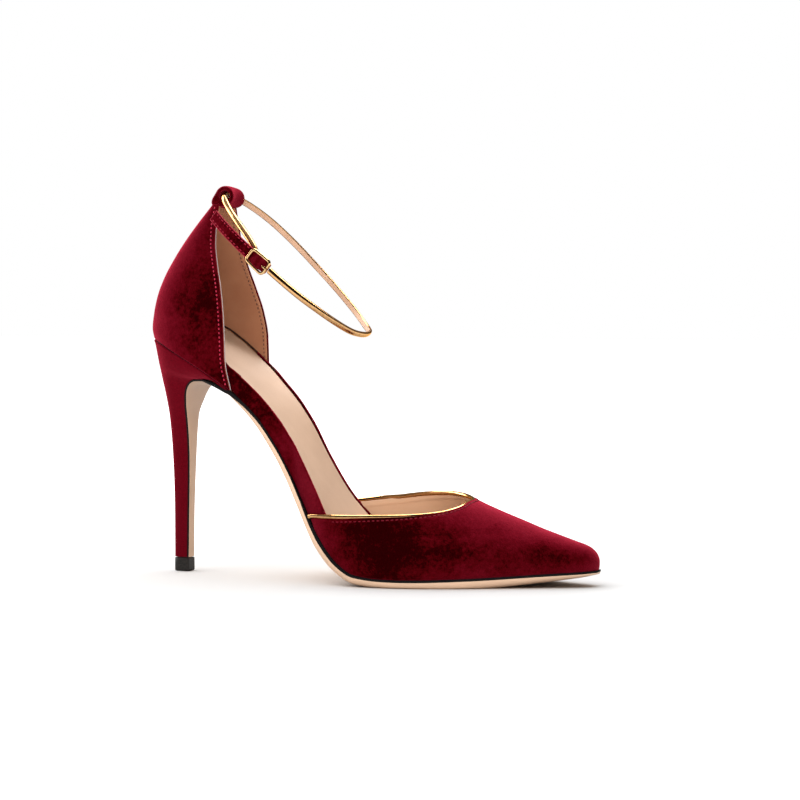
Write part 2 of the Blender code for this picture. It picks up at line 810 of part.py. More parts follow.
def make_strap():
    """Ankle strap on its route, with its flat side to the ankle."""
    path = smooth_route(STRAP_ROUTE, STRAP_STEPS)
    lean = np.array([math.sin(BUCKLE_SLOPE), 0, math.cos(BUCKLE_SLOPE)])
    across = np.tile(lean, (len(path), 1))
    return sweep("ankle_strap", path, across, strap_profile(), "gold")


def buckle_axes():
    along = np.array([math.cos(BUCKLE_SLOPE), 0, -math.sin(BUCKLE_SLOPE)])
    across = np.array([math.sin(BUCKLE_SLOPE), 0, math.cos(BUCKLE_SLOPE)])
    outwards = np.array([0.0, -1.0, 0.0])
    return along, across, outwards


def at_buckle(points):
    """Points given along the strap, across it and outwards from the buckle's centre."""
    return np.array(BUCKLE_CENTRE) + np.array(points, float) @ np.array(buckle_axes())


def make_tail():
    """Velvet tail threaded through the buckle."""
    along = np.linspace(TAIL_ROUTE.rows[0, 0], TAIL_ROUTE.rows[-1, 0], TAIL_STEPS)
    path = at_buckle([(u, 0, TAIL_ROUTE("outwards", u)) for u in along])
    half, flat = TAIL_WIDTH / 2, TAIL_THICKNESS / 2
    profile = [(half, -flat), (half, flat), (-half, flat), (-half, -flat)]
    return sweep("strap_tail", path, np.tile(buckle_axes()[1], (len(path), 1)), profile, "velvet")


def make_buckle():
    """Round-cornered wire frame with its centre bar."""
    half_length = BUCKLE_LENGTH / 2 - BUCKLE_WIRE
    half_width = BUCKLE_WIDTH / 2 - BUCKLE_WIRE
    path = []
    for quarter, (way_u, way_w) in enumerate(((1, 1), (-1, 1), (-1, -1), (1, -1))):
        for turn in np.linspace(0, math.pi / 2, BUCKLE_CORNER_STEPS) + quarter * math.pi / 2:
            u = way_u * (half_length - BUCKLE_CORNER) + BUCKLE_CORNER * math.cos(turn)
            w = way_w * (half_width - BUCKLE_CORNER) + BUCKLE_CORNER * math.sin(turn)
            path.append((u, w * (1 + BUCKLE_TAPER * u / half_length), BUCKLE_LIFT))
    path = at_buckle(path)
    outwards = np.tile(buckle_axes()[2], (len(path), 1))
    frame = sweep("buckle_frame", path, outwards, circle(BUCKLE_WIRE, WIRE_SIDES), "gold", closed=True)
    bar_path = at_buckle([(0, way * half_width, CENTRE_BAR_LIFT) for way in (-1, 0, 1)])
    bar = sweep("centre_bar", bar_path, outwards[:3], circle(CENTRE_BAR_RADIUS, WIRE_SIDES), "gold")
    return join(frame, bar)


def make_prong():
    """Prong from the hole in the tail to its rest on the front bar."""
    path = at_buckle([(along, 0, outwards) for along, outwards in PRONG_ROUTE.rows])
    across = np.tile(buckle_axes()[1], (len(path), 1))
    return sweep("buckle_prong", path, across, circle(PRONG_RADIUS, WIRE_SIDES), "gold")


def make_keeper():
    """Folded loop on the neck: a rounded band pierced by the strap's tunnel."""
    turns = np.arange(KEEPER_SIDES) * 2 * math.pi / KEEPER_SIDES
    away = (turns - KEEPER_FOOT_ANGLE + math.pi) % (2 * math.pi) - math.pi
    radius = KEEPER_RADIUS + KEEPER_FOOT_REACH * np.exp(-((away / KEEPER_FOOT_SPREAD) ** 2))
    reach = KEEPER_HALF_WIDTH
    stations = (
        (-reach, KEEPER_EDGE),
        (KEEPER_EDGE - reach, 0),
        (0, 0),
        (reach - KEEPER_EDGE, 0),
        (reach, KEEPER_EDGE),
    )
    loops = []
    for y, shrink in stations:
        loops.append([ring_point(turn, r - shrink, y) for turn, r in zip(turns, radius)])
    for y, _ in reversed(stations):
        loops.append([ring_point(turn, KEEPER_TUNNEL, y) for turn in turns])
    return loft("strap_keeper", loops, "velvet", closed=True)


def ring_point(turn, radius, y):
    from_middle = (y - KEEPER_BEND_MIDDLE) ** 2
    x, z = (centre + bend * from_middle for centre, bend in zip(KEEPER_CENTRE, KEEPER_BEND))
    return (x + radius * math.cos(turn), y, z + radius * math.sin(turn))


def centre_on_floor(pieces):
    """Hangs the pieces on an empty that puts the origin at the bottom centre of their box."""
    corners = np.array([vertex.co for piece in pieces for vertex in piece.data.vertices])
    middle = (corners.min(axis=0) + corners.max(axis=0)) / 2
    shoe = bpy.data.objects.new("shoe", None)
    shoe.location = (-middle[0], -middle[1], 0)
    bpy.context.scene.collection.objects.link(shoe)
    for piece in pieces:
        piece.parent = shoe


def main():
    for old in list(bpy.data.objects):
        bpy.data.objects.remove(old)
    for make in (
        make_outsole,
        make_heel,
        make_heel_tip,
        make_insole,
        make_upper,
        make_piping,
        make_keeper,
        make_strap,
        make_tail,
        make_buckle,
        make_prong,
    ):
        make()
    centre_on_floor(list(bpy.context.scene.collection.objects))


main()
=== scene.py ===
"""Looks of the right stiletto pump: velvet, gold trim and nude leather, in a white studio.

Sizes are in millimetres from the centre of the heel tip on the floor, as the shoe is measured:
+X to the toe, +Y to the medial side and +Z up. The heel tip's place in the frame puts them in metres.
"""

import math

import bmesh
import bpy
import numpy as np
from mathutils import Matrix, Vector


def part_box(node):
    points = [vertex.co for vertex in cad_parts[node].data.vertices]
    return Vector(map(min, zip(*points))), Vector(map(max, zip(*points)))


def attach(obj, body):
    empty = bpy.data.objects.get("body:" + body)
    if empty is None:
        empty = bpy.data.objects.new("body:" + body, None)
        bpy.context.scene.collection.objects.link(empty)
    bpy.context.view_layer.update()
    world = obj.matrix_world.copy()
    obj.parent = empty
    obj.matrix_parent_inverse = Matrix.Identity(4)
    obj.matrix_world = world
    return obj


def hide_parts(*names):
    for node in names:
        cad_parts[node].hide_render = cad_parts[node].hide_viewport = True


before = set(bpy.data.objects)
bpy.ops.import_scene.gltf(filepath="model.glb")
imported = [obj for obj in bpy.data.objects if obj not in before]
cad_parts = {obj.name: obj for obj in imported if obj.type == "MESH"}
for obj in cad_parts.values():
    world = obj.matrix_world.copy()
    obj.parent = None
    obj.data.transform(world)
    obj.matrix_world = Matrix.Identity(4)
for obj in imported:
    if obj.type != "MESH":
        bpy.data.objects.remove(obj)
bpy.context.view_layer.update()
SHOE, GROUND = (bpy.data.collections.new(name) for name in ("shoe", "ground"))

# General: millimetres, sides, the gap between pieces, and fineness of the meshes
MM = 0.001
LATERAL, MEDIAL = -1, 1
UP = np.array([0.0, 0.0, 1.0])
GAP = 0.3
WELD = 2e-7
SHARP_ANGLE = math.radians(50)
NARROWEST = 0.01
SLOPE_STEP = 0.5
CORD_SIDES = 10


class Table:
    """Rows of named columns, read smoothly along the first column."""

    def __init__(self, columns, *rows):
        self.columns = columns.split()
        self.rows = np.array(rows, float)

    def __call__(self, column, at):
        return monotone_curve(self.rows[:, 0], self.rows[:, self.columns.index(column)], at)


# Driving sizes of the last
HEEL_HEIGHT = 104.8
TOE_TIP = 191.2
SEAT_BACK = -12.0
SEAT_FRONT = 33.0
SEAT_HALF_WIDTH = 24.2
BACK_ROUNDNESS = 2.2
WIDEST_OF_RING = 0.71
FRONT_OF_RING = 0.97
SEAT = Table(
    "x fall",
    (-12.0, 0.0),
    (-8.0, 1.3),
    (-3.0, 2.95),
    (1.5, 5.0),
    (6.0, 7.2),
    (10.5, 9.5),
    (15.0, 11.9),
    (20.0, 14.8),
    (24.0, 17.4),
    (28.5, 20.4),
    (33.0, 23.2),
)
CROWN_LEVELS = 2.0
LAST = Table(
    "x feather lateral medial",
    (33.0, 81.6, 23.4, 23.4),
    (39.5, 75.7, 21.9, 21.5),
    (46.0, 68.2, 20.9, 19.9),
    (53.0, 57.8, 20.6, 19.1),
    (60.0, 46.5, 22.4, 20.0),
    (66.0, 36.3, 25.6, 22.5),
    (72.0, 26.8, 29.0, 25.8),
    (78.0, 18.2, 31.8, 29.0),
    (86.5, 9.3, 34.4, 32.6),
    (94.0, 5.1, 35.6, 34.8),
    (104.0, 3.8, 35.9, 36.3),
    (114.0, 3.5, 34.9, 36.6),
    (124.0, 3.6, 32.6, 35.2),
    (136.0, 4.0, 28.6, 31.6),
    (148.0, 4.5, 23.4, 26.6),
    (160.0, 5.2, 17.8, 21.2),
    (172.0, 5.9, 12.2, 15.7),
    (184.0, 6.5, 6.7, 10.3),
    (191.2, 6.9, 3.0, 6.8),
)
TOE_NOSE = 9.0
NOSE_ROUNDNESS = 2.6
WAIST_TWIST = 4.5
TWIST_START, TWIST_END = 48.0, 98.0
RIDGE = Table(
    "x height",
    (60.0, 62.0),
    (80.0, 58.5),
    (100.0, 51.0),
    (115.0, 42.5),
    (127.0, 36.0),
    (137.0, 30.6),
    (143.0, 27.9),
    (157.0, 22.0),
    (171.0, 16.0),
    (184.0, 11.0),
    (191.2, 8.8),
)
SECTION_SHOULDER = 2.2
WALL_BULGE = 1.2
BULGE_HEIGHT = 18.0
BULGE_RUN = 24.0

# Topline of the vamp, by side, from its rear corner to the throat
THROAT = 135.9
TOPLINE = {
    LATERAL: Table(
        "x height",
        (72.0, 27.7),
        (86.0, 28.1),
        (99.0, 28.8),
        (115.0, 29.6),
        (127.0, 30.9),
        (134.4, 33.2),
    ),
    MEDIAL: Table(
        "x height",
        (67.0, 29.7),
        (73.5, 29.9),
        (80.0, 30.7),
        (91.0, 32.3),
        (107.0, 34.7),
        (122.0, 36.0),
        (131.5, 35.7),
    ),
}
VAMP_WALL = 1.6
SETTLED_RISE = 4.0
TOPLINE_SPAN = 4
VAMP_STEPS = 90
VAMP_ROWS = 60
TOE_CROWDING = 1.5
THROAT_CROWDING = 1.79

# Heel counter, a row for each level from the seat to the neck: back point, half width, front edges
COUNTER = Table(
    "level back_x back_z half lateral_x lateral_z medial_x medial_z",
    (0, -12.0, 104.8, 24.2, 32.3, 81.6, 33.0, 81.6),
    (1, -12.8, 109.5, 23.8, 29.6, 93.0, 31.9, 93.0),
    (2, -12.1, 116.0, 22.9, 28.8, 104.0, 31.9, 104.5),
    (3, -10.5, 123.3, 21.4, 27.65, 115.0, 30.5, 115.5),
    (4, -7.4, 131.2, 18.9, 25.6, 126.0, 27.7, 126.5),
    (5, -2.7, 139.6, 15.6, 22.7, 136.5, 25.0, 137.0),
    (6, 2.6, 147.6, 12.0, 20.3, 146.5, 23.6, 147.0),
    (7, 8.4, 155.2, 8.7, 19.5, 155.3, 23.4, 155.3),
    (8, 14.4, 162.2, 6.4, 20.2, 162.4, 23.2, 161.6),
)
COUNTER_ROWS = 80
RING_STEPS = 46
RING_FRONT_STEPS = 30
SEAM_REACHES = (0.25, 0.5, 0.8)
SEAM_DEPTH = 0.35
SEAM_WIDTH = 0.45

# Layers of the upper: velvet outside, leather lining inside
VELVET = 0.95
LINING_START = 1.0
LINING = 0.6
COUNTER_LINING = 0.8
LAYER_EDGE = 0.6
LINING_RING = {LATERAL: 1.004, MEDIAL: 0.99}
NECK_RISE = 1.2
NECK_LEVEL = 7.0
NECK_LEAN = 0.86
TOPLINE_TUCK = 0.8
SEWN_DEPTH = 0.22
SEWN_WIDTH = 0.55
LINING_EDGE_RADIUS = 0.13
LINING_EDGE_ROWS = slice(2, -12)

# Rim of the insole above the feather edge, and the waist bands beside it
RIM = Table(
    "x lateral medial",
    (-12.0, 15.2, 15.2),
    (-8.0, 14.5, 14.6),
    (-3.0, 13.75, 13.9),
    (3.0, 13.65, 14.1),
    (12.0, 13.65, 14.35),
    (18.0, 12.75, 13.55),
    (24.0, 11.75, 12.65),
    (28.5, 10.4, 12.0),
    (32.0, 8.9, 11.0),
    (40.0, 8.9, 10.8),
    (46.0, 9.75, 11.9),
    (52.0, 11.6, 13.9),
    (58.0, 13.65, 15.5),
    (64.0, 15.95, 15.4),
    (70.0, 16.9, 14.5),
    (75.0, 16.4, 13.6),
    (80.0, 13.6, 12.2),
    (88.0, 8.6, 8.0),
    (96.0, 5.0, 5.0),
    (110.0, 3.6, 3.6),
    (191.2, 2.6, 2.6),
)
BAND_START, BAND_END = 27.0, 84.0
BAND_STEPS = 90
BAND_SIDE_STEPS = 9
BAND_TOP_STEPS = 13
BAND_INSET = Table(
    "x inset",
    (27.0, 2.3),
    (32.0, 2.2),
    (37.0, 1.3),
    (84.0, 1.3),
)
BAND_WALL = 1.5
BAND_ABOVE_INSOLE = 0.6
BAND_BULGE = 0.35
BAND_SINK = 0.1
BAND_SPREAD = Table(
    "x foot",
    (27.0, 0.0),
    (33.5, 0.3),
    (37.5, 1.2),
    (57.0, 1.0),
    (64.0, 0.0),
    (84.0, 0.0),
)
INSOLE_INSET = Table(
    "x inset",
    (-12.0, 3.3),
    (10.0, 3.6),
    (27.0, 3.8),
    (40.0, 3.5),
    (84.0, 3.5),
    (92.0, 2.8),
    (191.2, 3.2),
)
INSOLE_BACK_GAP = 0.15
INSOLE_TOE_GAP = 5.0
INSOLE_DISH = 1.0
INSOLE_STATIONS = 130
INSOLE_CROWDING = 0.83
INSOLE_ROUND = 1.7
INSOLE_ACROSS = 40
# Cord of painted shade in the gap beside the insole: its run, steps, radius, inset and rise
JOINT_START, JOINT_END = -8.0, 36.0
JOINT_STEPS = 60
JOINT_RADIUS = 0.4
JOINT_INSET = 2.9
JOINT_RISE = 0.1

# Heel, a row for each level from the seat to the tip: back and breast points, and half width
HEEL = Table(
    "level back_x back_z breast_x breast_z half",
    (0, -12.0, 104.8, 31.5, 82.37, 24.2),
    (1, -10.5, 99.0, 22.8, 85.8, 22.6),
    (2, -9.6, 94.0, 17.15, 86.8, 20.0),
    (3, -8.95, 89.6, 12.25, 86.7, 16.7),
    (4, -8.2, 85.2, 8.4, 85.2, 14.3),
    (5, -7.35, 81.2, 5.9, 81.9, 12.6),
    (6, -6.8, 76.5, 4.45, 77.0, 10.1),
    (7, -6.35, 70.0, 3.4, 69.9, 6.6),
    (8, -5.5, 57.0, 3.3, 55.0, 4.1),
    (9, -4.8, 42.0, 3.0, 42.0, 3.3),
    (10, -4.5, 28.0, 2.6, 28.0, 2.95),
    (11, -4.4, 6.5, 2.25, 6.5, 2.85),
)
HEEL_ROWS = 90
HEEL_LIP = 0.8
HEEL_LIP_STEPS = 5
SEAT_GAP = 0.5
# Cord of painted shade in the gap between the counter and the heel: radius, inset and rise
SEAT_SHADE_RADIUS = 0.5
SEAT_SHADE_INSET = 1.0
SEAT_SHADE_RISE = SEAT_GAP / 3
BREAST_STEPS = 8
TIP_FRONT = 3.55
TIP_MARGIN = 0.15

# Top piece of the heel: heights from its top to the floor, and how far its outline is drawn in there
TIP_STATIONS = ((6.1, 0.25), (5.85, 0.0), (0.5, 0.0), (0.15, 0.175), (0.0, 0.5))

# Outsole: thickness at its middle; the bottom rounds up to a thin edge with a painted side
SOLE = Table(
    "x thickness edge",
    (33.0, 2.2, 1.5),
    (37.5, 3.3, 1.3),
    (43.0, 3.9, 1.05),
    (46.0, 4.1, 0.9),
    (53.0, 4.3, 0.7),
    (60.0, 4.2, 0.5),
    (66.0, 4.1, 0.45),
    (69.5, 4.2, 0.8),
    (72.0, 4.4, 1.05),
    (78.0, 4.9, 1.3),
    (86.5, 4.7, 1.15),
    (94.0, 4.5, 1.0),
    (102.0, 4.4, 0.9),
    (140.0, 5.2, 0.9),
    (150.0, 4.8, 0.9),
    (172.0, 3.6, 0.85),
    (184.0, 2.6, 0.8),
    (191.2, 1.5, 0.7),
)
SOLE_MARGIN = 0.5
TOE_MARGIN = 0.1
SOLE_ROUND = 6.0
SOLE_ROUND_STEPS = 9
SOLE_FLAT_STEPS = 6
SOLE_CLEARANCE = 0.1
SOLE_ROUND_SHARE = 0.6
FLAP = Table(
    "level thickness edge",
    (0, 1.9, 1.5),
    (1, 1.3, 1.15),
    (2, 1.1, 0.65),
    (3, 1.2, 0.7),
    (11, 1.2, 0.7),
)
SOLE_STATIONS = 150
SOLE_CROWDING = 1.6
SOLE_TIP_GAP = 0.02
EDGE_STEPS = 7
EDGE_PROUD = 0.12
EDGE_CROWN = 0.1
EDGE_COVER = 1.9
EDGE_COVER_SHARE = 0.3
EDGE_COVER_RISE = 0.08

# Gold piping on the topline, from its lateral end past the throat to its medial end
PIPING = Table(
    "step radius rise",
    (-1.0, 1.0, 1.1),
    (-0.85, 0.9, 0.9),
    (-0.6, 0.8, 0.7),
    (-0.25, 0.72, 0.45),
    (0.2, 0.8, 0.7),
    (0.5, 1.0, 1.05),
    (1.0, 1.05, 1.15),
)
PIPING_SIDES = 20
PIPING_SHIFT_RUN = 8.0
PIPING_STAND_OFF = 0.5

# Ankle strap: its route from the buckle round the front, the medial side and the keeper to the buckle
STRAP_WIDTH = 2.6
STRAP_CROWN = 0.95
STRAP_FLAT = 0.6
STRAP_LINING = 0.45
STRAP_WRAP = 0.45
STRAP_BEVEL = 0.2
STRAP_EDGE = 0.15
STRAP_CROWN_STEPS = 17
STRAP_ROUTE = (
    (53.6, -30.2, 134.2),
    (60.0, -30.0, 128.9),
    (67.4, -28.8, 122.8),
    (74.6, -25.7, 117.0),
    (80.5, -20.6, 111.9),
    (85.0, -12.4, 107.7),
    (87.5, -3.5, 106.4),
    (86.7, 5.0, 107.5),
    (82.2, 12.5, 110.0),
    (74.0, 20.5, 116.7),
    (63.2, 26.6, 126.3),
    (53.5, 28.4, 135.7),
    (42.9, 25.8, 147.2),
    (33.9, 19.5, 157.1),
    (27.0, 10.8, 164.0),
    (22.6, 3.5, 167.4),
    (21.7, -1.8, 168.1),
    (22.4, -6.6, 166.8),
    (26.7, -11.2, 161.8),
    (32.2, -16.4, 156.8),
    (36.9, -20.4, 152.7),
    (42.2, -24.6, 147.8),
    (45.7, -27.2, 143.6),
    (47.6, -28.2, 139.8),
)
STRAP_STEPS = 420
ROUTE_FINENESS = 40
ROUTE_SMOOTHING = 12

# Buckle, in its own plane: along the strap, across it and outwards
BUCKLE_CENTRE = (49.05, -30.2, 138.05)
BUCKLE_SLOPE = math.radians(40.0)
BUCKLE_AXES = np.array([
    (math.cos(BUCKLE_SLOPE), 0, -math.sin(BUCKLE_SLOPE)),
    (math.sin(BUCKLE_SLOPE), 0, math.cos(BUCKLE_SLOPE)),
    (0, -1, 0),
])
BUCKLE_LENGTH = 11.2
BUCKLE_WIDTH = 7.7
BUCKLE_TAPER = 0.07
BUCKLE_CORNER = 1.5
BUCKLE_CORNER_STEPS = 14
BUCKLE_WIRE = 0.68
BUCKLE_LIFT = 1.35
WIRE_SIDES = 18
CENTRE_BAR_RADIUS = 0.45
CENTRE_BAR_LIFT = 0.5
BAR_STEPS = 9
PRONG_RADIUS = 0.38
PRONG_ROUTE = ((2.6, 1.3), (3.2, 2.3), (3.9, 2.75), (5.05, 2.7), (5.8, 2.5))
PRONG_STEPS = 16

# Tail, from under the front bar over the centre bar and under the rear bar to its cut end
TAIL_HALF_WIDTH = Table(
    "along half",
    (-31.4, 2.5),
    (-7.0, 2.6),
    (-4.0, 2.65),
    (4.0, 2.65),
    (5.4, 2.4),
)
TAIL_THICKNESS = 1.0
TAIL_ROUTE = Table(
    "along outwards",
    (-31.4, -6.9),
    (-24.0, -3.6),
    (-17.0, -1.5),
    (-10.0, -0.3),
    (-6.1, 0.0),
    (-4.2, 0.0),
    (0.0, 1.75),
    (4.2, 0.0),
    (5.4, 0.0),
)
TAIL_START = TAIL_ROUTE.rows[0, 0]
TAIL_STEPS = 120
TAIL_ROUND_STEPS = 9
TAIL_END_STEPS = 14
TAIL_SKEW = -0.02
TAIL_SKEW_RUN = 8.0
TAIL_STITCH_INSET = 0.9
TAIL_STITCH_STOP = 1.0
TAIL_CUT_RADIUS = 0.24

# Keeper on the neck: a folded loop with the strap's tunnel across it
KEEPER_CENTRE = (21.6, 167.6)
KEEPER_RADIUS = 4.4
KEEPER_TUNNEL = 2.5
KEEPER_HALF_WIDTH = 5.4
KEEPER_FOOT_ANGLE = math.radians(212)
KEEPER_FOOT_REACH = 2.7
KEEPER_FOOT_SPREAD = math.radians(30)
KEEPER_EDGE = 1.0
KEEPER_EDGE_STEPS = 8
KEEPER_SIDE_STEPS = 12
KEEPER_MOUTH = 0.6
KEEPER_BEND = (0.04, -0.022)
KEEPER_BEND_MIDDLE = -1.5
KEEPER_SIDES = 96

# Stitches and pinholes: half length, half width and height of what shows, the pitch along a row,
# and how far a row keeps from the edges and ends of the piece it is sewn through
STITCH = (0.55, 0.34, 0.26)
LONG_STITCH = (0.72, 0.26, 0.2)
STITCH_PITCH = 1.85
# Pinholes are dark marks of painted shade in the needle holes
PINHOLE = (0.3, 0.26, 0.1)
LONG_STITCH_PITCH = 2.0
STITCH_RINGS, STITCH_SIDES = 7, 10
FRONT_STITCH_INSET = 1.9
TOPLINE_STITCH_DROP = 1.2
STITCH_ROWS = slice(5, -6)
TOPLINE_STITCH_ROWS = slice(6, -6)
SEAM_STITCH_SHIFT = (0, 0.9, 0)

# Velvet: fixed inputs, noises (features a metre, detail, roughness),
# and depth in metres and strength of the relief
VELVET_SHEEN = {
    "Roughness": 1.0,
    "Specular IOR Level": 0.0,
    "Sheen Weight": 0.25,
    "Sheen Roughness": 0.35,
    "Sheen Tint": (0.9, 0.06, 0.12, 1),
}
BRUSHED = (8.0, 0.68)
RUFFLES = (600.0, 4.0, 0.7)
PILE = (2200.0, 2.0)
RUFFLE_RELIEF = (0.0003, 0.3)
PILE_RELIEF = (0.0002, 0.5)
PILE_SPECK = ((0.25, (0.75, 0.75, 0.75)), (0.75, (1.2, 1.2, 1.2)))

# Its nap: how the pile leans, how much the ruffles and the brushing turn it, and its brushing along the shoe,
# where light and shade are painted too
PILE_LEAN = (0.17, 0.0, -0.13)
RUFFLE = 0.2
BRUSHING_AND_LIGHT_TILT = 0.1
# Brushing and painted light and shade along the shoe, by distance from the heel tip: higher is lighter
BRUSHING_AND_PAINTED_LIGHT = (
    (-12.0, 0.9),
    (8.0, 0.75),
    (30.0, 0.5),
    (72.0, 0.8),
    (84.0, 0.65),
    (98.0, 0.12),
    (118.0, 0.15),
    (140.0, 0.62),
    (165.0, 0.52),
    (180.0, 0.55),
    (191.0, 0.9),
)
SHOE_REACH = 0.11

# Its painted sheen: shades painted into its colour by how far it is seen along the pile, from face on to
# grazing
VELVET_PAINTED_SHEEN = (
    (0.0, (0.014, 0.0001, 0.0004)),
    (0.03, (0.033, 0.0003, 0.001)),
    (0.1, (0.056, 0.0008, 0.0024)),
    (0.25, (0.09, 0.0022, 0.0065)),
    (0.5, (0.13, 0.0055, 0.0125)),
    (0.9, (0.2, 0.0125, 0.024)),
)
HEEL_PAINTED_SHEEN = (
    (0.0, (0.075, 0.0012, 0.004)),
    (0.4, (0.092, 0.0026, 0.0068)),
    (0.9, (0.14, 0.008, 0.015)),
)

# Velvets: slot, brushed patches a metre, how far the brushing turns the pile, and shades of painted sheen
VELVETS = {
    "burgundy_velvet": ("velvet", 45.0, 0.32, VELVET_PAINTED_SHEEN),
    "heel_velvet": ("velvet", 30.0, 0.2, HEEL_PAINTED_SHEEN),
}

# Families of the other finishes: fixed inputs, mottling apart from the grain, the grain's detail and
# roughness, places of dark and light in the mottling, and depth in metres and strength of the relief
FAMILIES = {
    "leather": ({"Specular IOR Level": 0.35}, (60.0, 4.0), (3.0, 0.6), (0.35, 0.65), (0.0001, 0.35)),
    "gold": (
        {"Metallic": 1.0, "Specular Tint": (0.85, 0.6, 0.38, 1)},
        None, (3.0, 0.5), (0.3, 0.6), (0.00002, 0.3),
    ),
    "plain": ({"Specular IOR Level": 0.08}, None, (3.0, 0.55), (0.35, 0.65), (0.00008, 0.3)),
}

# Finishes: slot, family, dark, light, range of roughness, grains a metre, and any painted shade along the
# shoe
# Painted shade on the sole: darker down the heel's breast and the back of the waist, a little darker towards
# the toe
SOLE_PAINTED_SHADE = ((8.0, 0.6), (34.0, 0.68), (52.0, 1.0), (100.0, 0.87))
FINISHES = {
    "nude_lining": (
        "lining_leather", "leather", (0.29, 0.115, 0.055), (0.33, 0.138, 0.068), (0.64, 0.8), 1500.0,
    ),
    "vamp_lining": (
        "lining_leather", "leather", (0.55, 0.335, 0.205), (0.59, 0.365, 0.23), (0.54, 0.7), 1500.0,
    ),
    "insole_leather": (
        "lining_leather", "leather", (0.365, 0.235, 0.155), (0.395, 0.256, 0.17), (0.42, 0.58), 1800.0,
    ),
    "sole_leather": (
        "sole_leather", "leather", (0.63, 0.42, 0.285), (0.67, 0.45, 0.305), (0.44, 0.6), 1200.0, SOLE_PAINTED_SHADE,
    ),
    "strap_leather": (
        "metallic_leather", "leather", (0.45, 0.26, 0.16), (0.55, 0.34, 0.22), (0.49, 0.65), 1500.0,
    ),
    "gold_leather": (
        "metallic_leather", "gold", (0.4, 0.215, 0.085), (0.54, 0.31, 0.14), (0.098, 0.196), 900.0,
    ),
    "gold_metal": ("gold_metal", "gold", (0.55, 0.34, 0.15), (0.68, 0.45, 0.22), (0.07, 0.14), 300.0),
    "edge_paint": ("sole_leather", "plain", (0.003, 0.003, 0.003), (0.006, 0.005, 0.005), (0.5, 0.63), 800.0),
    "tip_rubber": ("heel_tip", "plain", (0.012, 0.011, 0.01), (0.025, 0.022, 0.02), (0.37, 0.5), 1500.0),
    "rose_thread": ("velvet", "plain", (0.3, 0.014, 0.035), (0.38, 0.024, 0.05), (0.55, 0.68), 3000.0),
    "burgundy_thread": ("velvet", "plain", (0.11, 0.004, 0.01), (0.16, 0.008, 0.018), (0.55, 0.68), 3000.0),
    "tan_thread": ("lining_leather", "plain", (0.1, 0.045, 0.03), (0.15, 0.07, 0.045), (0.55, 0.68), 3000.0),
    # Cut edge of the tail, lighter as a painted sheen, and the tail's thread
    "cut_edge": ("velvet", "plain", (0.2, 0.006, 0.018), (0.27, 0.012, 0.028), (0.65, 0.78), 2500.0),
    # Painted shade for needle holes and for the gap at the heel's seat
    "pinhole_shade": ("velvet", "plain", (0.01, 0.0005, 0.001), (0.016, 0.001, 0.002), (0.85, 0.98), 2500.0),
    # Cut edge of the lining, painted paler as its highlight
    "lining_cut_edge": (
        "lining_leather", "plain", (0.34, 0.3, 0.31), (0.42, 0.37, 0.38), (0.55, 0.68), 2500.0,
    ),
    # Painted shade in the gaps beside the insole
    "joint_shade": (
        "lining_leather", "plain", (0.02, 0.008, 0.005), (0.035, 0.014, 0.009), (0.75, 0.88), 2500.0,
    ),
    "strap_edge_paint": (
        "metallic_leather", "plain", (0.1, 0.045, 0.016), (0.16, 0.075, 0.028), (0.45, 0.58), 1200.0,
    ),
}

# Camera of the photograph: focal length in pixels of an 800 pixel frame
FRAME_PIXELS = 800
FOCAL_PIXELS = 2464.3
SENSOR = 36.0
CAMERA_PLACE = (458.1, -1008.5, 122.1)
CAMERA_VIEW = (-0.3322, 0.9423, -0.0411)

# Studio: white all round and overhead, dim on the side where the photographer stands, a pale floor that glows
# away from the shoe, and softboxes: place, target, size, watts, what they light, and whether gold shows them
SKY = ((0.35, (0.22, 0.22, 0.22)), (0.75, (0.5, 0.5, 0.5)))
ROOM_SIDE = (0.33, -0.94, 0.0)
ROOM_SHADE = ((0.1, (1, 1, 1)), (0.7, (0.06, 0.06, 0.06)))
WHITE = (1, 1, 1, 1)
FLOOR_REACH = 6.0
FLOOR_FINISH = {"Roughness": 0.9, "Specular IOR Level": 0.1, "Emission Strength": 1}
FLOOR_GRAIN = 20.0
FLOOR_SHADES = ((0.3, (0.77, 0.77, 0.765)), (0.7, (0.79, 0.79, 0.785)))
BACKDROP_GLOW = ((0.1, (0, 0, 0)), (0.4, (1, 1, 1)))
SOFTBOXES = {
    "key": ((0.0, 0.5, 0.92), (0, 0, 0.05), (0.85, 0.5), 24.0, SHOE, True),
    "floor_key": ((-0.4, 0.1, 1.0), (0, 0, 0), (2.6, 2.4), 39.0, GROUND, False),
    "left_rim": ((-0.8, 0.2, 0.45), (0, 0, 0.08), (0.4, 0.7), 9.0, SHOE, True),
    "front_fill": ((0.3, -1.1, 0.35), (0, 0, 0.06), (1.6, 1.0), 24.0, SHOE, False),
}

TIP_LOW, TIP_HIGH = (np.array(corner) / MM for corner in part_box("heel_tip"))
TIP_BACK = HEEL.rows[-1, HEEL.columns.index("back_x")] - TIP_MARGIN
ORIGIN = np.array([TIP_LOW[0] - TIP_BACK, (TIP_LOW[1] + TIP_HIGH[1]) / 2, TIP_LOW[2]])


def hermite(s, start, end, leave, arrive):
    """Cubic from start to end at shares s, with its slopes at both."""
    first = (1 + 2 * s) * (1 - s) ** 2 * start + s * (1 - s) ** 2 * leave
    return first + s**2 * (3 - 2 * s) * end + s**2 * (s - 1) * arrive


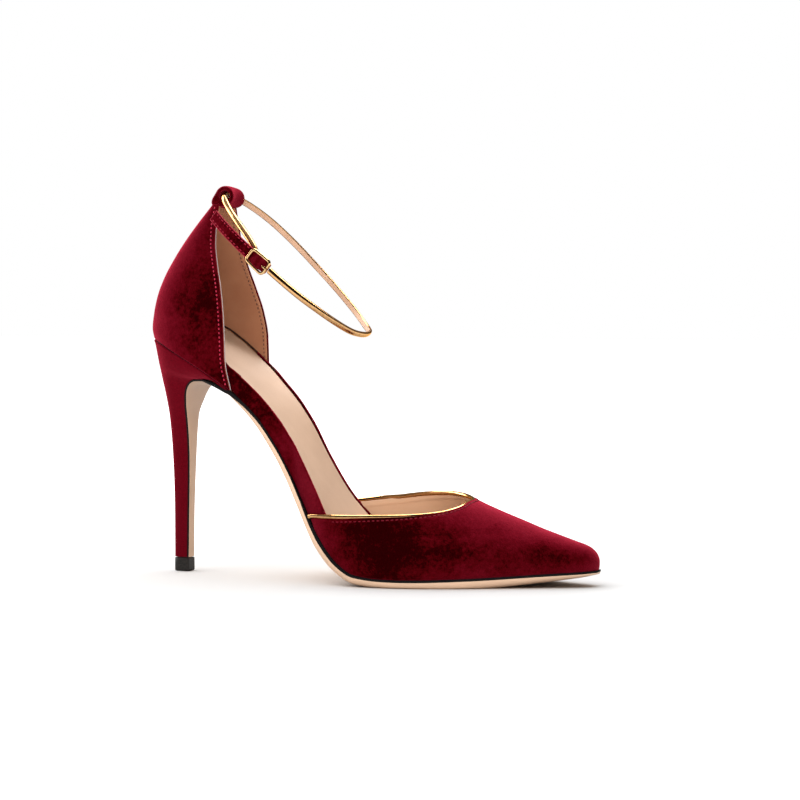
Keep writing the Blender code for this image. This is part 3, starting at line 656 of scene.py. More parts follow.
def monotone_curve(knots, values, at):
    """Cubic through the knots that doesn't overshoot between them."""
    at = np.clip(at, knots[0], knots[-1])
    run = np.diff(knots)
    rise = np.diff(values) / run
    slope = np.concatenate(([rise[0]], np.zeros(len(run) - 1), [rise[-1]]))
    before, after = rise[:-1], rise[1:]
    turning = before * after <= 0
    both = np.where(turning, 1.0, before + after)
    slope[1:-1] = np.where(turning, 0.0, 2 * before * after / both)
    i = np.clip(np.searchsorted(knots, at, side="right") - 1, 0, len(run) - 1)
    s = (at - knots[i]) / run[i]
    return hermite(s, values[i], values[i + 1], run[i] * slope[i], run[i] * slope[i + 1])


def rounded(share, roundness):
    """Superellipse: 1 at a share of 0, down to 0 at a share of 1."""
    return (1 - share**roundness) ** (1 / roundness)


def unit(vectors):
    return vectors / np.linalg.norm(vectors, axis=-1, keepdims=True)


def travelled(path):
    """Distance along a path at each of its points."""
    return np.concatenate(([0], np.cumsum(np.linalg.norm(np.diff(path, axis=0), axis=1))))


def resampled(path, at):
    """Points at distances along a path."""
    run = travelled(path)
    return np.column_stack([np.interp(at, run, path[:, axis]) for axis in range(path.shape[1])])


def smooth_route(points, steps):
    """Evenly spaced points on a smooth curve through the route's own points."""
    points = np.array(points, float)
    ends = np.vstack([2 * points[0] - points[1], points, 2 * points[-1] - points[-2]])
    s = np.linspace(0, 1, ROUTE_FINENESS, endpoint=False)[:, None]
    fine = [
        hermite(s, start, end, (end - before) / 2, (after - start) / 2)
        for before, start, end, after in zip(ends, ends[1:], ends[2:], ends[3:])
    ]
    fine = np.vstack(fine + [points[-1:]])
    route = resampled(fine, np.linspace(0, travelled(fine)[-1], steps + 1))
    for _ in range(ROUTE_SMOOTHING):
        route[1:-1] = (route[:-2] + 2 * route[1:-1] + route[2:]) / 4
    return route


def piece(name, points, faces, look, *nodes):
    """Closed mesh that rides on the shoe, with its finish and the solids it stands for."""
    material, slot = LOOKS[look]
    mesh = bpy.data.meshes.new(name)
    mesh.from_pydata(((np.array(points) + ORIGIN) * MM).tolist(), [], faces)
    work = bmesh.new()
    work.from_mesh(mesh)
    bmesh.ops.remove_doubles(work, verts=work.verts, dist=WELD)
    bmesh.ops.recalc_face_normals(work, faces=work.faces)
    work.to_mesh(mesh)
    work.free()
    mesh.shade_smooth()
    mesh.set_sharp_from_angle(angle=SHARP_ANGLE)
    mesh.materials.append(material)
    made = bpy.data.objects.new(name, mesh)
    bpy.context.scene.collection.objects.link(made)
    SHOE.objects.link(made)
    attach(made, "root")
    if nodes:
        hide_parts(*nodes)
    return made


def loft_faces(count, around, closed=False):
    """Faces of a loft through loops of equally many points, capped unless it closes on itself."""
    here = np.arange(count if closed else count - 1)[:, None] * around
    there = (here + around) % (count * around)
    k = np.arange(around)[None, :]
    n = (k + 1) % around
    faces = np.stack([here + k, here + n, there + n, there + k], axis=-1).reshape(-1, 4).tolist()
    if not closed:
        faces.append(list(range(around)))
        faces.append(list(range((count - 1) * around, count * around)))
    return faces


def loft(name, loops, look, *nodes, closed=False):
    loops = np.array(loops)
    return piece(name, loops.reshape(-1, 3), loft_faces(*loops.shape[:2], closed), look, *nodes)


def outward(grid):
    """Normals of a grid that runs clockwise seen from above and then upwards."""
    return unit(np.cross(np.gradient(grid, axis=0), np.gradient(grid, axis=1)))


def edge_runs(grid):
    """Distances of each point of a grid from its first and last edges and from its foot and top."""
    along = np.linalg.norm(np.diff(grid, axis=0), axis=2)
    up = np.linalg.norm(np.diff(grid, axis=1), axis=2)
    from_start = np.pad(np.cumsum(along, axis=0), ((1, 0), (0, 0)))
    from_foot = np.pad(np.cumsum(up, axis=1), ((0, 0), (1, 0)))
    return from_start, from_start[-1:] - from_start, from_foot, from_foot[:, -1:] - from_foot


def layer(name, grid, start, thickness, look, *nodes):
    """Sheet of a given thickness below a grid's outside, with round edges."""
    normal = outward(grid)
    short = 1 - np.clip(np.min(edge_runs(grid), axis=0) / LAYER_EDGE, 0, 1)
    half = (thickness / 2 * np.sqrt(1 - short**2))[..., None]
    middle = grid - normal * (start + thickness / 2)
    rows, columns = grid.shape[:2]
    index = np.arange(rows * columns).reshape(rows, columns)
    faces = np.stack([index[:-1, :-1], index[1:, :-1], index[1:, 1:], index[:-1, 1:]], axis=-1).reshape(-1, 4)
    points = np.vstack([(middle + normal * half).reshape(-1, 3), (middle - normal * half).reshape(-1, 3)])
    faces = np.vstack([faces, faces[:, ::-1] + rows * columns]).tolist()
    return piece(name, points, faces, look, *nodes)


def sweep_loops(path, across, profile, closed=False):
    """Loops of a profile of (across, outwards) points that is carried along a path."""
    if closed:
        along = unit(np.roll(path, -1, axis=0) - np.roll(path, 1, axis=0))
    else:
        along = unit(np.gradient(path, axis=0))
    across = unit(across - along * np.sum(across * along, axis=1, keepdims=True))
    outwards = np.cross(along, across)
    profile = np.array(profile)
    return path[:, None] + across[:, None] * profile[None, :, :1] + outwards[:, None] * profile[None, :, 1:]


def circle(radius, sides):
    turns = np.arange(sides) * 2 * math.pi / sides
    return np.column_stack([radius * np.cos(turns), radius * np.sin(turns)])


def cord(name, path, across, radius, sides, look, *nodes, closed=False):
    """Round cord or wire along a path."""
    loops = sweep_loops(path, across, circle(radius, sides), closed)
    return loft(name, loops, look, *nodes, closed=closed)


def eased(count):
    """Shares from 0 to 1, close together at both ends."""
    return 0.5 - 0.5 * np.cos(math.pi * np.linspace(0, 1, count))


def ring_reach(along):
    """Half width of a heel ring, as a share, from its back at 0 to its front edge at 1."""
    back = np.clip(1 - along / WIDEST_OF_RING, 0, 1)
    front = np.clip((along - WIDEST_OF_RING) / (1 - WIDEST_OF_RING), 0, 1)
    return rounded(back, BACK_ROUNDNESS) - (1 - FRONT_OF_RING) * front**2


def ring_shares():
    """Shares along a heel ring, from the lateral front edge round the back to the medial front edge."""
    turn = np.linspace(0, 1, RING_STEPS)
    round_part = WIDEST_OF_RING * (1 - np.cos(turn * math.pi / 2))
    front = 1 - (1 - WIDEST_OF_RING) * np.linspace(1, 0, RING_FRONT_STEPS + 1)[1:] ** 2
    near = (np.array(SEAM_REACHES) / SEAT_HALF_WIDTH) ** BACK_ROUNDNESS
    seam = WIDEST_OF_RING * (1 - (1 - near) ** (1 / BACK_ROUNDNESS))
    along = np.unique(np.concatenate([round_part, front, seam]))
    return np.concatenate([-along[:0:-1], along])


def heel_ring(back, front, half):
    """Points round a heel section, from (x, z) at its back to (x, z) at its front edges."""
    ring = ring_shares()
    along = np.abs(ring)
    x, z = (start + (end - start) * along for start, end in zip(back, front))
    return np.column_stack([x, np.sign(ring) * half * ring_reach(along), z])


def twist(x):
    """How far the medial feather edge lies behind the lateral one in the waist."""
    share = np.clip((x - TWIST_START) / (TWIST_END - TWIST_START), 0, 1)
    return WAIST_TWIST * np.sin(math.pi * share) ** 2


def nose_share(x):
    """Share of the way through the toe's nose, from its start to the tip."""
    return np.clip((x - TOE_TIP + TOE_NOSE) / TOE_NOSE, 0, 1)


def nose(x):
    """Rounding of the toe's outline and ridge, from 1 behind the nose to 0 at the tip."""
    return rounded(nose_share(x), NOSE_ROUNDNESS)


def outline(x):
    """Middle and half width of the feather outline at a distance x."""
    seat = SEAT_HALF_WIDTH * ring_reach((x - SEAT_BACK) / (SEAT_FRONT - SEAT_BACK))
    lateral, medial = LAST("lateral", x), LAST("medial", x)
    fore = (lateral + medial) / 2 * nose(x)
    middle = np.where(x < SEAT_FRONT, 0, (medial - lateral) / 2)
    return middle, np.where(x < SEAT_FRONT, seat, fore)


def across_share(x, y):
    """Place across the foot, from -1 at the lateral edge to 1 at the medial one."""
    middle, half = outline(x)
    return np.clip((y - middle) / np.maximum(half, NARROWEST), -1, 1)


def feather(x, y):
    """Height of the last's bottom."""
    seat = HEEL_HEIGHT - SEAT("fall", x)
    return np.where(x < SEAT_FRONT, seat, LAST("feather", x + twist(x) * (1 + across_share(x, y)) / 2))


def seat_crown(x):
    """How far the seat's edge stands above a straight line from its back to its front."""
    x = np.clip(x, SEAT_BACK, SEAT_FRONT)
    share = (x - SEAT_BACK) / (SEAT_FRONT - SEAT_BACK)
    return SEAT("fall", SEAT_FRONT) * share - SEAT("fall", x)


def above_sole(x, y):
    """Height of a piece that rests on the outsole or the heel, with its gap square to the slope."""
    slope = (feather(x + SLOPE_STEP, y) - feather(x - SLOPE_STEP, y)) / (2 * SLOPE_STEP)
    return feather(x, y) + GAP * np.sqrt(1 + slope**2)


def rim(x, y):
    """Height of the insole's rim above the feather edge, which stands higher on one side in the waist."""
    lateral, medial = RIM("lateral", x), RIM("medial", x)
    return lateral + (medial - lateral) * (1 + across_share(x, y)) / 2


def ridge(x):
    return RIDGE("height", x) * nose(x)


def vamp_height(x, y):
    """Height of the vamp's outside over a point of the plan."""
    return ridge(x) * rounded(np.abs(across_share(x, y)), SECTION_SHOULDER)


def topline_y(x, side):
    """Where the topline lies across the foot, from its height."""
    middle, half = outline(x)
    edge = feather(x, middle + side * half)
    rows = TOPLINE[side].rows
    knots = np.append(rows[:, 0], THROAT)
    heights = np.append(rows[:, 1], feather(THROAT, 0.0) + ridge(THROAT))
    share = np.clip((monotone_curve(knots, heights, x) - edge) / ridge(x), 0, 1)
    return middle + side * half * rounded(share, SECTION_SHOULDER)


def vamp_grid():
    """Outside of the vamp: from the lateral corner round the toe to the medial one, up to the topline."""
    steps = np.linspace(-1, 1, 2 * VAMP_STEPS + 1)
    side = np.where(steps > 0, MEDIAL, LATERAL)
    corner = np.where(steps > 0, TOPLINE[MEDIAL].rows[0, 0], TOPLINE[LATERAL].rows[0, 0])
    back = np.abs(steps) ** TOE_CROWDING
    foot_x = TOE_TIP - (TOE_TIP - corner) * back
    top_x = THROAT - (THROAT - corner) * back**THROAT_CROWDING
    middle, half = outline(foot_x)
    feet = np.column_stack([foot_x, middle + side * half])
    tops = np.column_stack([top_x, [topline_y(x, s) for x, s in zip(top_x, side)]])
    along = unit(np.gradient(feet, axis=0))
    outwards = np.column_stack([along[:, 1], -along[:, 0]])
    fullness = WALL_BULGE * np.clip((foot_x - BAND_END) / BULGE_RUN, 0, 1)
    grid = []
    for climb in eased(VAMP_ROWS + 1) ** SECTION_SHOULDER:
        plan = feet + (tops - feet) * climb
        x, y = plan.T
        rise = vamp_height(x, y)
        settled = (above_sole(x, y) - feather(x, y)) * np.clip(rise / SETTLED_RISE, 0, 1)
        bulge = fullness * np.sin(math.pi * np.clip(rise / BULGE_HEIGHT, 0, 1))
        grid.append(np.column_stack([plan + outwards * bulge[:, None], feather(x, y) + settled + rise]))
    return np.stack(grid, axis=1)


def counter_grid(reach=None):
    """Outside of the counter: from its medial front edge round the back to the lateral, up to the keeper."""
    ring = ring_shares()[::-1]
    along, side = np.abs(ring), np.sign(ring)
    if reach:
        along = along * np.where(side > 0, reach[MEDIAL], reach[LATERAL])
    columns = []
    for level in eased(COUNTER_ROWS + 1) * (len(COUNTER.rows) - 1):
        row = {name: COUNTER(name, level) for name in COUNTER.columns}
        rise = NECK_RISE * max(level - NECK_LEVEL, 0) ** 2
        front_x = np.where(side > 0, row["medial_x"], row["lateral_x"])
        front_z = np.where(side > 0, row["medial_z"], row["lateral_z"])
        x = row["back_x"] + (front_x - row["back_x"]) * along + NECK_LEAN * rise * (1 - along)
        z = row["back_z"] + (front_z - row["back_z"]) * along + rise + SEAT_GAP
        z = z + seat_crown(x) * max(1 - level / CROWN_LEVELS, 0)
        columns.append(np.column_stack([x, side * row["half"] * ring_reach(along), z]))
    return np.stack(columns, axis=1)


def back_seam(grid):
    """The counter's outside with the shallow trough of its centre-back seam."""
    trough = SEAM_DEPTH * np.exp(-((grid[..., 1] / SEAM_WIDTH) ** 2)) * (grid[..., 0] < KEEPER_CENTRE[0])
    back_half = grid[..., 0] < COUNTER("back_x", len(COUNTER.rows) - 1)
    return grid - outward(grid) * (trough * back_half)[..., None]


def sewn(grid, run, inset):
    """A grid's outside with the soft trough that a row of stitches draws in at a distance from an edge."""
    trough = SEWN_DEPTH * np.exp(-(((run - inset) / SEWN_WIDTH) ** 2))
    return grid - outward(grid) * trough[..., None]


def topline_rise(grid):
    """Directions in which a grid runs out over its top edge."""
    return unit(grid[:, -1] - grid[:, -TOPLINE_SPAN])


def tucked(grid):
    """A grid that goes on past its top edge, into the piping."""
    return np.concatenate([grid, (grid[:, -1] + topline_rise(grid) * TOPLINE_TUCK)[:, None]], axis=1)


def make_upper():
    """Counter, waist bands and vamp: velvet outside, leather lining inside."""
    counter = counter_grid()
    counter = sewn(back_seam(counter), np.minimum(*edge_runs(counter)[:2]), FRONT_STITCH_INSET)
    layer("counter_velvet", counter, 0, VELVET, "burgundy_velvet", "upper")
    lining = counter_grid(LINING_RING)
    layer("counter_lining", lining, LINING_START, COUNTER_LINING, "nude_lining", "upper")
    # Pale cord on the lining's cut edge, lighter than the lining as a painted highlight
    out = outward(lining)[-1, LINING_EDGE_ROWS]
    edge = lining[-1, LINING_EDGE_ROWS] - out * LINING_START
    cord("lining_edge", edge, out, LINING_EDGE_RADIUS, CORD_SIDES, "lining_cut_edge", "upper")
    vamp = vamp_grid()
    vamp = tucked(sewn(vamp, edge_runs(vamp)[3], TOPLINE_STITCH_DROP))
    layer("vamp_velvet", vamp, 0, VELVET, "burgundy_velvet", "upper")
    layer("vamp_lining", vamp, LINING_START, LINING, "vamp_lining", "upper")
    make_band("waist_band_lateral", LATERAL)
    make_band("waist_band_medial", MEDIAL)


def make_band(name, side):
    """Velvet band beside the insole, with a slightly full outside and a round top."""
    x = np.linspace(BAND_START, BAND_END, BAND_STEPS)
    middle, half = outline(x)
    radius = BAND_WALL / 2
    across = middle + side * (half - BAND_INSET("inset", x) - radius)
    foot = feather(x, across) - BAND_SINK
    top = feather(x, across) + rim(x, across) + BAND_ABOVE_INSOLE - radius
    spread = BAND_SPREAD("foot", x)
    full = BAND_BULGE * np.clip(spread, 0, 1)
    loops = []
    climb = np.linspace(0, 1, BAND_SIDE_STEPS)
    turns = np.linspace(0, math.pi, BAND_TOP_STEPS)[1:-1]
    for here, place, low, high, wide, bulge in zip(x, across, foot, top, spread, full):
        outside = radius + wide * (1 - climb) ** 2 + bulge * np.sin(math.pi * climb)
        height = low + (high - low) * climb
        reach = np.concatenate([outside, radius * np.cos(turns), [-radius, -radius]])
        rise = np.concatenate([height, high + radius * np.sin(turns), [high, low]])
        loops.append(np.column_stack([np.full_like(reach, here), place + side * reach, rise]))
    return loft(name, loops, "burgundy_velvet", "upper")


def make_insole():
    """Leather-covered insole: sections from the back of the seat to the toe, with a rounded rim."""
    turn = np.linspace(0, 1, INSOLE_STATIONS)
    ease = turn - INSOLE_CROWDING * np.sin(2 * math.pi * turn) / (2 * math.pi)
    start = SEAT_BACK + INSOLE_INSET("inset", SEAT_BACK) + INSOLE_BACK_GAP
    share = -np.cos(math.pi * np.linspace(0, 1, INSOLE_ACROSS + 1))
    loops = []
    for x in start + (TOE_TIP - INSOLE_TOE_GAP - start) * ease:
        inset = INSOLE_INSET("inset", x)
        middle, half = outline(x)
        if x < SEAT_FRONT:
            along = (x - SEAT_BACK - inset) / (SEAT_FRONT - SEAT_BACK - inset)
            half = inset + (SEAT_HALF_WIDTH - inset) * ring_reach(along)
        reach = half - inset
        y = middle + reach * share
        into_rim = 1 - np.clip(reach * (1 - np.abs(share)) / INSOLE_ROUND, 0, 1)
        drop = INSOLE_ROUND * (1 - np.sqrt(1 - into_rim**2))
        top = feather(x, y) + rim(x, y) - INSOLE_DISH * (1 - share**2) - drop
        bottom = np.minimum(above_sole(x, y), top)
        under = np.column_stack([np.full_like(y, x), y, bottom])
        over = np.column_stack([np.full_like(y, x), y, top])
        loops.append(np.vstack([under, over[::-1]]))
    cover = loft("insole_cover", loops, "insole_leather", "insole")


def make_joint_shade():
    """Dark cord of painted shade in the gap between the insole and the counter's lining, on both sides of the
    seat.
    """
    x = np.linspace(JOINT_START, JOINT_END, JOINT_STEPS)
    middle, half = outline(x)
    for name, side in (("lateral", LATERAL), ("medial", MEDIAL)):
        y = middle + side * (half - JOINT_INSET)
        path = np.column_stack([x, y, feather(x, y) + rim(x, y) + JOINT_RISE])
        cord(f"insole_joint_{name}", path, UP, JOINT_RADIUS, CORD_SIDES, "joint_shade", "insole")


def sole_section(half, thickness, edge):
    """Places across the sole and its depth there: a thin edge, a round, then flat to the middle."""
    turn = np.linspace(0, math.pi / 2, SOLE_ROUND_STEPS)
    round_width = min(SOLE_ROUND, half * SOLE_ROUND_SHARE)
    across = half - round_width * (1 - np.cos(turn))
    across = np.append(across, (half - round_width) * np.linspace(1, 0, SOLE_FLAT_STEPS)[1:-1])
    depth = edge + (thickness - edge) * np.sin(turn)
    depth = np.append(depth, np.full(SOLE_FLAT_STEPS - 2, thickness))
    across = np.concatenate([-across, [0], across[::-1]])
    return across, np.concatenate([depth, [thickness], depth[::-1]])


def sole_under_foot():
    """Top points and depths of the sole's sections from the toe to the seat."""
    turn = np.linspace(0, 1, SOLE_STATIONS)
    length = TOE_TIP - SEAT_FRONT + TOE_MARGIN
    tops, depths = [], []
    for x in TOE_TIP + TOE_MARGIN - SOLE_TIP_GAP - length * turn**SOLE_CROWDING:
        middle, half = outline(min(x, TOE_TIP) - SOLE_MARGIN * nose_share(x))
        across, depth = sole_section(half + SOLE_MARGIN, SOLE("thickness", x), SOLE("edge", x))
        y = middle + across
        tops.append(np.column_stack([np.full_like(y, x), y, feather(x, y)]))
        depths.append(depth)
    return tops, depths


def sole_on_heel():
    """Top points and depths of the sole's sections down the heel's breast."""
    tops, depths = [], []
    for level in np.linspace(0, len(HEEL.rows) - 1, HEEL_ROWS + 1)[1:]:
        half = HEEL("half", level) * FRONT_OF_RING
        y, depth = sole_section(half, FLAP("thickness", level), FLAP("edge", level))
        x, z = HEEL("breast_x", level), HEEL("breast_z", level)
        tops.append(np.column_stack([np.full_like(y, x), y, np.full_like(y, z)]))
        depths.append(depth + GAP)
    return tops, depths


def make_outsole():
    """Leather sole from the toe over the arch to the heel's end, and the paint on its side."""
    tops, depths = sole_under_foot()
    flap_tops, flap_depths = sole_on_heel()
    gaps = [0] * len(tops) + [GAP] * len(flap_tops)
    tops = np.array(tops + flap_tops)
    depths = np.array(depths + flap_depths)
    along = unit(np.gradient(tops[:, tops.shape[1] // 2] * (1, 0, 1), axis=0))
    down = np.column_stack([-along[:, 2], np.zeros(len(along)), along[:, 0]])[:, None]
    bottoms = tops + down * depths[..., None]
    middle = tops[:, tops.shape[1] // 2, 1][:, None]
    share = np.abs(tops[..., 1] - middle) / np.abs(tops[:, -1:, 1] - middle)
    bottoms[..., 2] = np.maximum(bottoms[..., 2], SOLE_CLEARANCE * share**2)
    tops = tops + down * np.array(gaps)[:, None, None]
    loops = np.concatenate([tops, bottoms[:, ::-1]], axis=1)
    loft("outsole_leather", loops, "sole_leather", "outsole")
    upper_edge = np.vstack([tops[::-1, 0], tops[:, -1]])
    lower_edge = np.vstack([bottoms[::-1, 0], bottoms[:, -1]])
    width = np.linalg.norm(tops[:, -1] - tops[:, 0], axis=1)
    cover = np.minimum(EDGE_COVER, EDGE_COVER_SHARE * np.concatenate([width[::-1], width]))
    make_sole_edge(upper_edge, lower_edge, cover[:, None])


def make_sole_edge(upper_edge, lower_edge, cover):
    """Painted strip on the side of the sole, all round, and a little way in over its top."""
    middle = (upper_edge + lower_edge) / 2
    along = unit(np.gradient(middle, axis=0))
    proud = unit(np.cross(along, upper_edge - lower_edge))
    upper_edge = upper_edge + unit(upper_edge - lower_edge) * EDGE_COVER_RISE
    strip = [upper_edge - proud * cover]
    for share in np.linspace(0, 1, EDGE_STEPS):
        lift = EDGE_PROUD + EDGE_CROWN * (1 - (2 * share - 1) ** 2)
        strip.append(upper_edge + (lower_edge - upper_edge) * share + proud * lift)
    strip.append(lower_edge - proud * EDGE_PROUD)
    loft("outsole_edge_paint", np.stack(strip, axis=1), "edge_paint", "outsole")


def make_heel():
    """Velvet-covered stiletto heel with a soft lip at its seat."""
    shares = np.arange(1, BREAST_STEPS)[:, None] / BREAST_STEPS
    loops = []
    for level in np.linspace(0, len(HEEL.rows) - 1, HEEL_ROWS + 1):
        row = {name: HEEL(name, level) for name in HEEL.columns}
        arc = heel_ring((row["back_x"], row["back_z"]), (row["breast_x"], row["breast_z"]), row["half"])
        arc[:, 2] += seat_crown(arc[:, 0]) * max(1 - level / CROWN_LEVELS, 0)
        loops.append(np.vstack([arc, arc[-1] + (arc[0] - arc[-1]) * shares]))
    seat = loops[0]
    middle = seat.mean(axis=0)
    lip = []
    for turn in np.linspace(math.pi / 2, 0, HEEL_LIP_STEPS)[:-1]:
        shrink = HEEL_LIP * (1 - math.cos(turn)) / SEAT_HALF_WIDTH
        sink = HEEL_LIP * (1 - math.sin(turn))
        lip.append(middle + (seat - middle) * (1 - shrink) - (0, 0, sink))
    loops[0] = seat - (0, 0, HEEL_LIP)
    return loft("heel_cover", lip + loops, "heel_velvet", "heel")


def make_seat_shade():
    """Dark cord of painted shade in the joint between the counter and the heel."""
    height = HEEL_HEIGHT + SEAT_SHADE_RISE
    edge = heel_ring((SEAT_BACK, height), (SEAT_FRONT, height), SEAT_HALF_WIDTH)
    edge[:, 2] -= SEAT("fall", edge[:, 0])
    inwards = unit(edge.mean(axis=0) * (1, 0, 0) - edge * (1, 1, 0))
    path = edge + inwards * SEAT_SHADE_INSET
    cord("seat_gap_shade", path, UP, SEAT_SHADE_RADIUS, CORD_SIDES, "pinhole_shade", "heel")


def make_heel_tip():
    """Top piece under the heel's end, with a bevelled foot and a slight rim at its top."""
    half = HEEL.rows[-1, HEEL.columns.index("half")] + TIP_MARGIN
    ring = heel_ring((TIP_BACK, 0), (TIP_FRONT, 0), half)
    middle = np.array([(TIP_BACK + TIP_FRONT) / 2, 0, 0])
    loops = []
    for height, drawn_in in TIP_STATIONS:
        loops.append(middle + (ring - middle) * (1 - drawn_in / half) + (0, 0, height))
    return loft("heel_top_piece", loops, "tip_rubber", "heel_tip")


def make_piping():
    """Gold cord on the vamp's top edge."""
    outer = vamp_grid()
    up = topline_rise(outer)
    past_band = np.clip((outer[:, -1, :1] - BAND_END) / PIPING_SHIFT_RUN, 0, 1)
    inset = VAMP_WALL / 2 * past_band - PIPING_STAND_OFF * (1 - past_band)
    steps = np.linspace(-1, 1, len(outer))
    path = outer[:, -1] - outward(outer)[:, -1] * inset + up * PIPING("rise", steps)[:, None]
    loops = sweep_loops(path, up, circle(1, PIPING_SIDES))
    loops = path[:, None] + (loops - path[:, None]) * PIPING("radius", steps)[:, None, None]
    return loft("topline_piping", loops, "gold_leather", "vamp_piping")


def make_strap():
    """Ankle strap: rounded gold outside, tan leather against the ankle."""
    path = smooth_route(STRAP_ROUTE, STRAP_STEPS)
    half = STRAP_WIDTH / 2
    turns = np.linspace(0, math.pi, STRAP_CROWN_STEPS)
    crown = np.column_stack([np.cos(turns) * half, np.sin(turns) * STRAP_CROWN])
    seam = STRAP_LINING - STRAP_FLAT
    fold = half - STRAP_WRAP
    wrapped = [
        (-half, seam),
        (fold, seam),
        (fold, -STRAP_FLAT),
        (half - STRAP_BEVEL, -STRAP_FLAT),
        (half, STRAP_BEVEL - STRAP_FLAT),
    ]
    backing = [
        (fold, seam),
        (STRAP_BEVEL / 2 - half, seam),
        (STRAP_BEVEL / 2 - half, STRAP_BEVEL - STRAP_FLAT),
        (STRAP_BEVEL - half, -STRAP_FLAT),
        (fold, -STRAP_FLAT),
    ]
    paint = circle(STRAP_EDGE, CORD_SIDES)
    for name, profile, look in (
        ("strap_outside", np.vstack([crown, wrapped]), "gold_leather"),
        ("strap_backing", backing, "strap_leather"),
        ("strap_edge_upper", paint + (half, seam), "strap_edge_paint"),
        ("strap_edge_lower", paint + (-half, seam), "strap_edge_paint"),
    ):
        loft(name, sweep_loops(path, BUCKLE_AXES[1], profile), look, "ankle_strap")


def at_buckle(points):
    """Points given along the strap, across it and outwards from the buckle's centre."""
    return np.array(BUCKLE_CENTRE) + np.array(points, float) @ BUCKLE_AXES


def tail_place(along, across, lift):
    """Point on the tail: its cut end leans, so the two edges end at different places."""
    fade = np.clip(1 - (along - TAIL_START) / TAIL_SKEW_RUN, 0, 1)
    shifted = along + TAIL_SKEW * fade * across
    return at_buckle(np.column_stack([shifted, across, TAIL_ROUTE("outwards", along) + lift]))


def make_tail():
    """Velvet tail threaded through the buckle, with its cut edge and stitches along both sides."""
    flat = TAIL_THICKNESS / 2
    turns = np.linspace(-math.pi / 2, math.pi / 2, TAIL_ROUND_STEPS)
    loops = []
    for along in np.linspace(TAIL_START, TAIL_ROUTE.rows[-1, 0], TAIL_STEPS):
        reach = TAIL_HALF_WIDTH("half", along) - flat
        side = np.column_stack([reach + flat * np.cos(turns), flat * np.sin(turns)])
        profile = np.vstack([side, side[::-1] * (-1, 1)])
        loops.append(tail_place(np.full(len(profile), along), profile[:, 0], profile[:, 1]))
    loft("tail_velvet", loops, "burgundy_velvet", "strap_tail")
    run = np.linspace(TAIL_START, -BUCKLE_LENGTH / 2, TAIL_STEPS)
    edge = TAIL_HALF_WIDTH("half", run) - TAIL_CUT_RADIUS / 2
    top, bottom = tail_place(run, edge, flat / 2), tail_place(run, -edge, flat / 2)
    cut = np.vstack([top[::-1], np.linspace(top[0], bottom[0], TAIL_END_STEPS)[1:-1], bottom])
    # Rose cord on the tail's cut edge, lighter than the velvet as a painted sheen
    cord("tail_cut_edge", cut, BUCKLE_AXES[2], TAIL_CUT_RADIUS, CORD_SIDES, "cut_edge", "strap_tail")
    run = np.linspace(TAIL_START + TAIL_STITCH_INSET, -BUCKLE_LENGTH / 2 - TAIL_STITCH_STOP, TAIL_STEPS)
    across = TAIL_HALF_WIDTH("half", run) - TAIL_STITCH_INSET
    out = np.tile(BUCKLE_AXES[2], (TAIL_STEPS, 1))
    rows = [(tail_place(run, way * across, flat), out) for way in (-1, 1)]
    stitches("tail_stitches", rows, LONG_STITCH, LONG_STITCH_PITCH, "cut_edge")


def make_buckle():
    """Polished wire frame with its centre bar and prong."""
    half_length = BUCKLE_LENGTH / 2 - BUCKLE_WIRE
    half_width = BUCKLE_WIDTH / 2 - BUCKLE_WIRE
    path = []
    for quarter, (way_u, way_w) in enumerate(((1, 1), (-1, 1), (-1, -1), (1, -1))):
        for turn in np.linspace(0, math.pi / 2, BUCKLE_CORNER_STEPS) + quarter * math.pi / 2:
            u = way_u * (half_length - BUCKLE_CORNER) + BUCKLE_CORNER * math.cos(turn)
            w = way_w * (half_width - BUCKLE_CORNER) + BUCKLE_CORNER * math.sin(turn)
            path.append((u, w * (1 + BUCKLE_TAPER * u / half_length), BUCKLE_LIFT))
    bar = [(0, way * half_width, CENTRE_BAR_LIFT) for way in np.linspace(-1, 1, BAR_STEPS)]
    prong = at_buckle([(along, 0, lift) for along, lift in PRONG_ROUTE])
    prong = resampled(prong, np.linspace(0, travelled(prong)[-1], PRONG_STEPS))
    across, out = BUCKLE_AXES[1:]
    gold = "gold_metal"
    cord("buckle_wire", at_buckle(path), out, BUCKLE_WIRE, WIRE_SIDES, gold, "buckle_frame", closed=True)
    cord("buckle_bar", at_buckle(bar), out, CENTRE_BAR_RADIUS, WIRE_SIDES, gold, "buckle_frame")
    cord("buckle_tongue", prong, across, PRONG_RADIUS, WIRE_SIDES, gold, "buckle_prong")


def make_keeper():
    """Folded velvet loop on the neck, pierced by the strap's tunnel."""
    turns = np.arange(KEEPER_SIDES) * 2 * math.pi / KEEPER_SIDES
    away = (turns - KEEPER_FOOT_ANGLE + math.pi) % (2 * math.pi) - math.pi
    radius = KEEPER_RADIUS + KEEPER_FOOT_REACH * np.exp(-((away / KEEPER_FOOT_SPREAD) ** 2))
    side = KEEPER_HALF_WIDTH - KEEPER_EDGE
    turn = np.linspace(0, math.pi / 2, KEEPER_EDGE_STEPS)
    rise = KEEPER_EDGE * np.sin(turn)
    shrink = KEEPER_EDGE * (1 - np.cos(turn))
    between_edges = np.linspace(-side, side, KEEPER_SIDE_STEPS)[1:-1]
    reaches = np.concatenate([-side - rise[::-1], between_edges, side + rise])
    inset = np.concatenate([shrink[::-1], np.zeros_like(between_edges), shrink])
    loops = [keeper_ring(turns, radius - less, y) for y, less in zip(reaches, inset)]
    for y, less in zip(reaches[::-1], inset[::-1]):
        loops.append(keeper_ring(turns, np.full_like(radius, KEEPER_TUNNEL) + less * KEEPER_MOUTH, y))
    return loft("keeper_velvet", loops, "burgundy_velvet", "strap_keeper", closed=True)


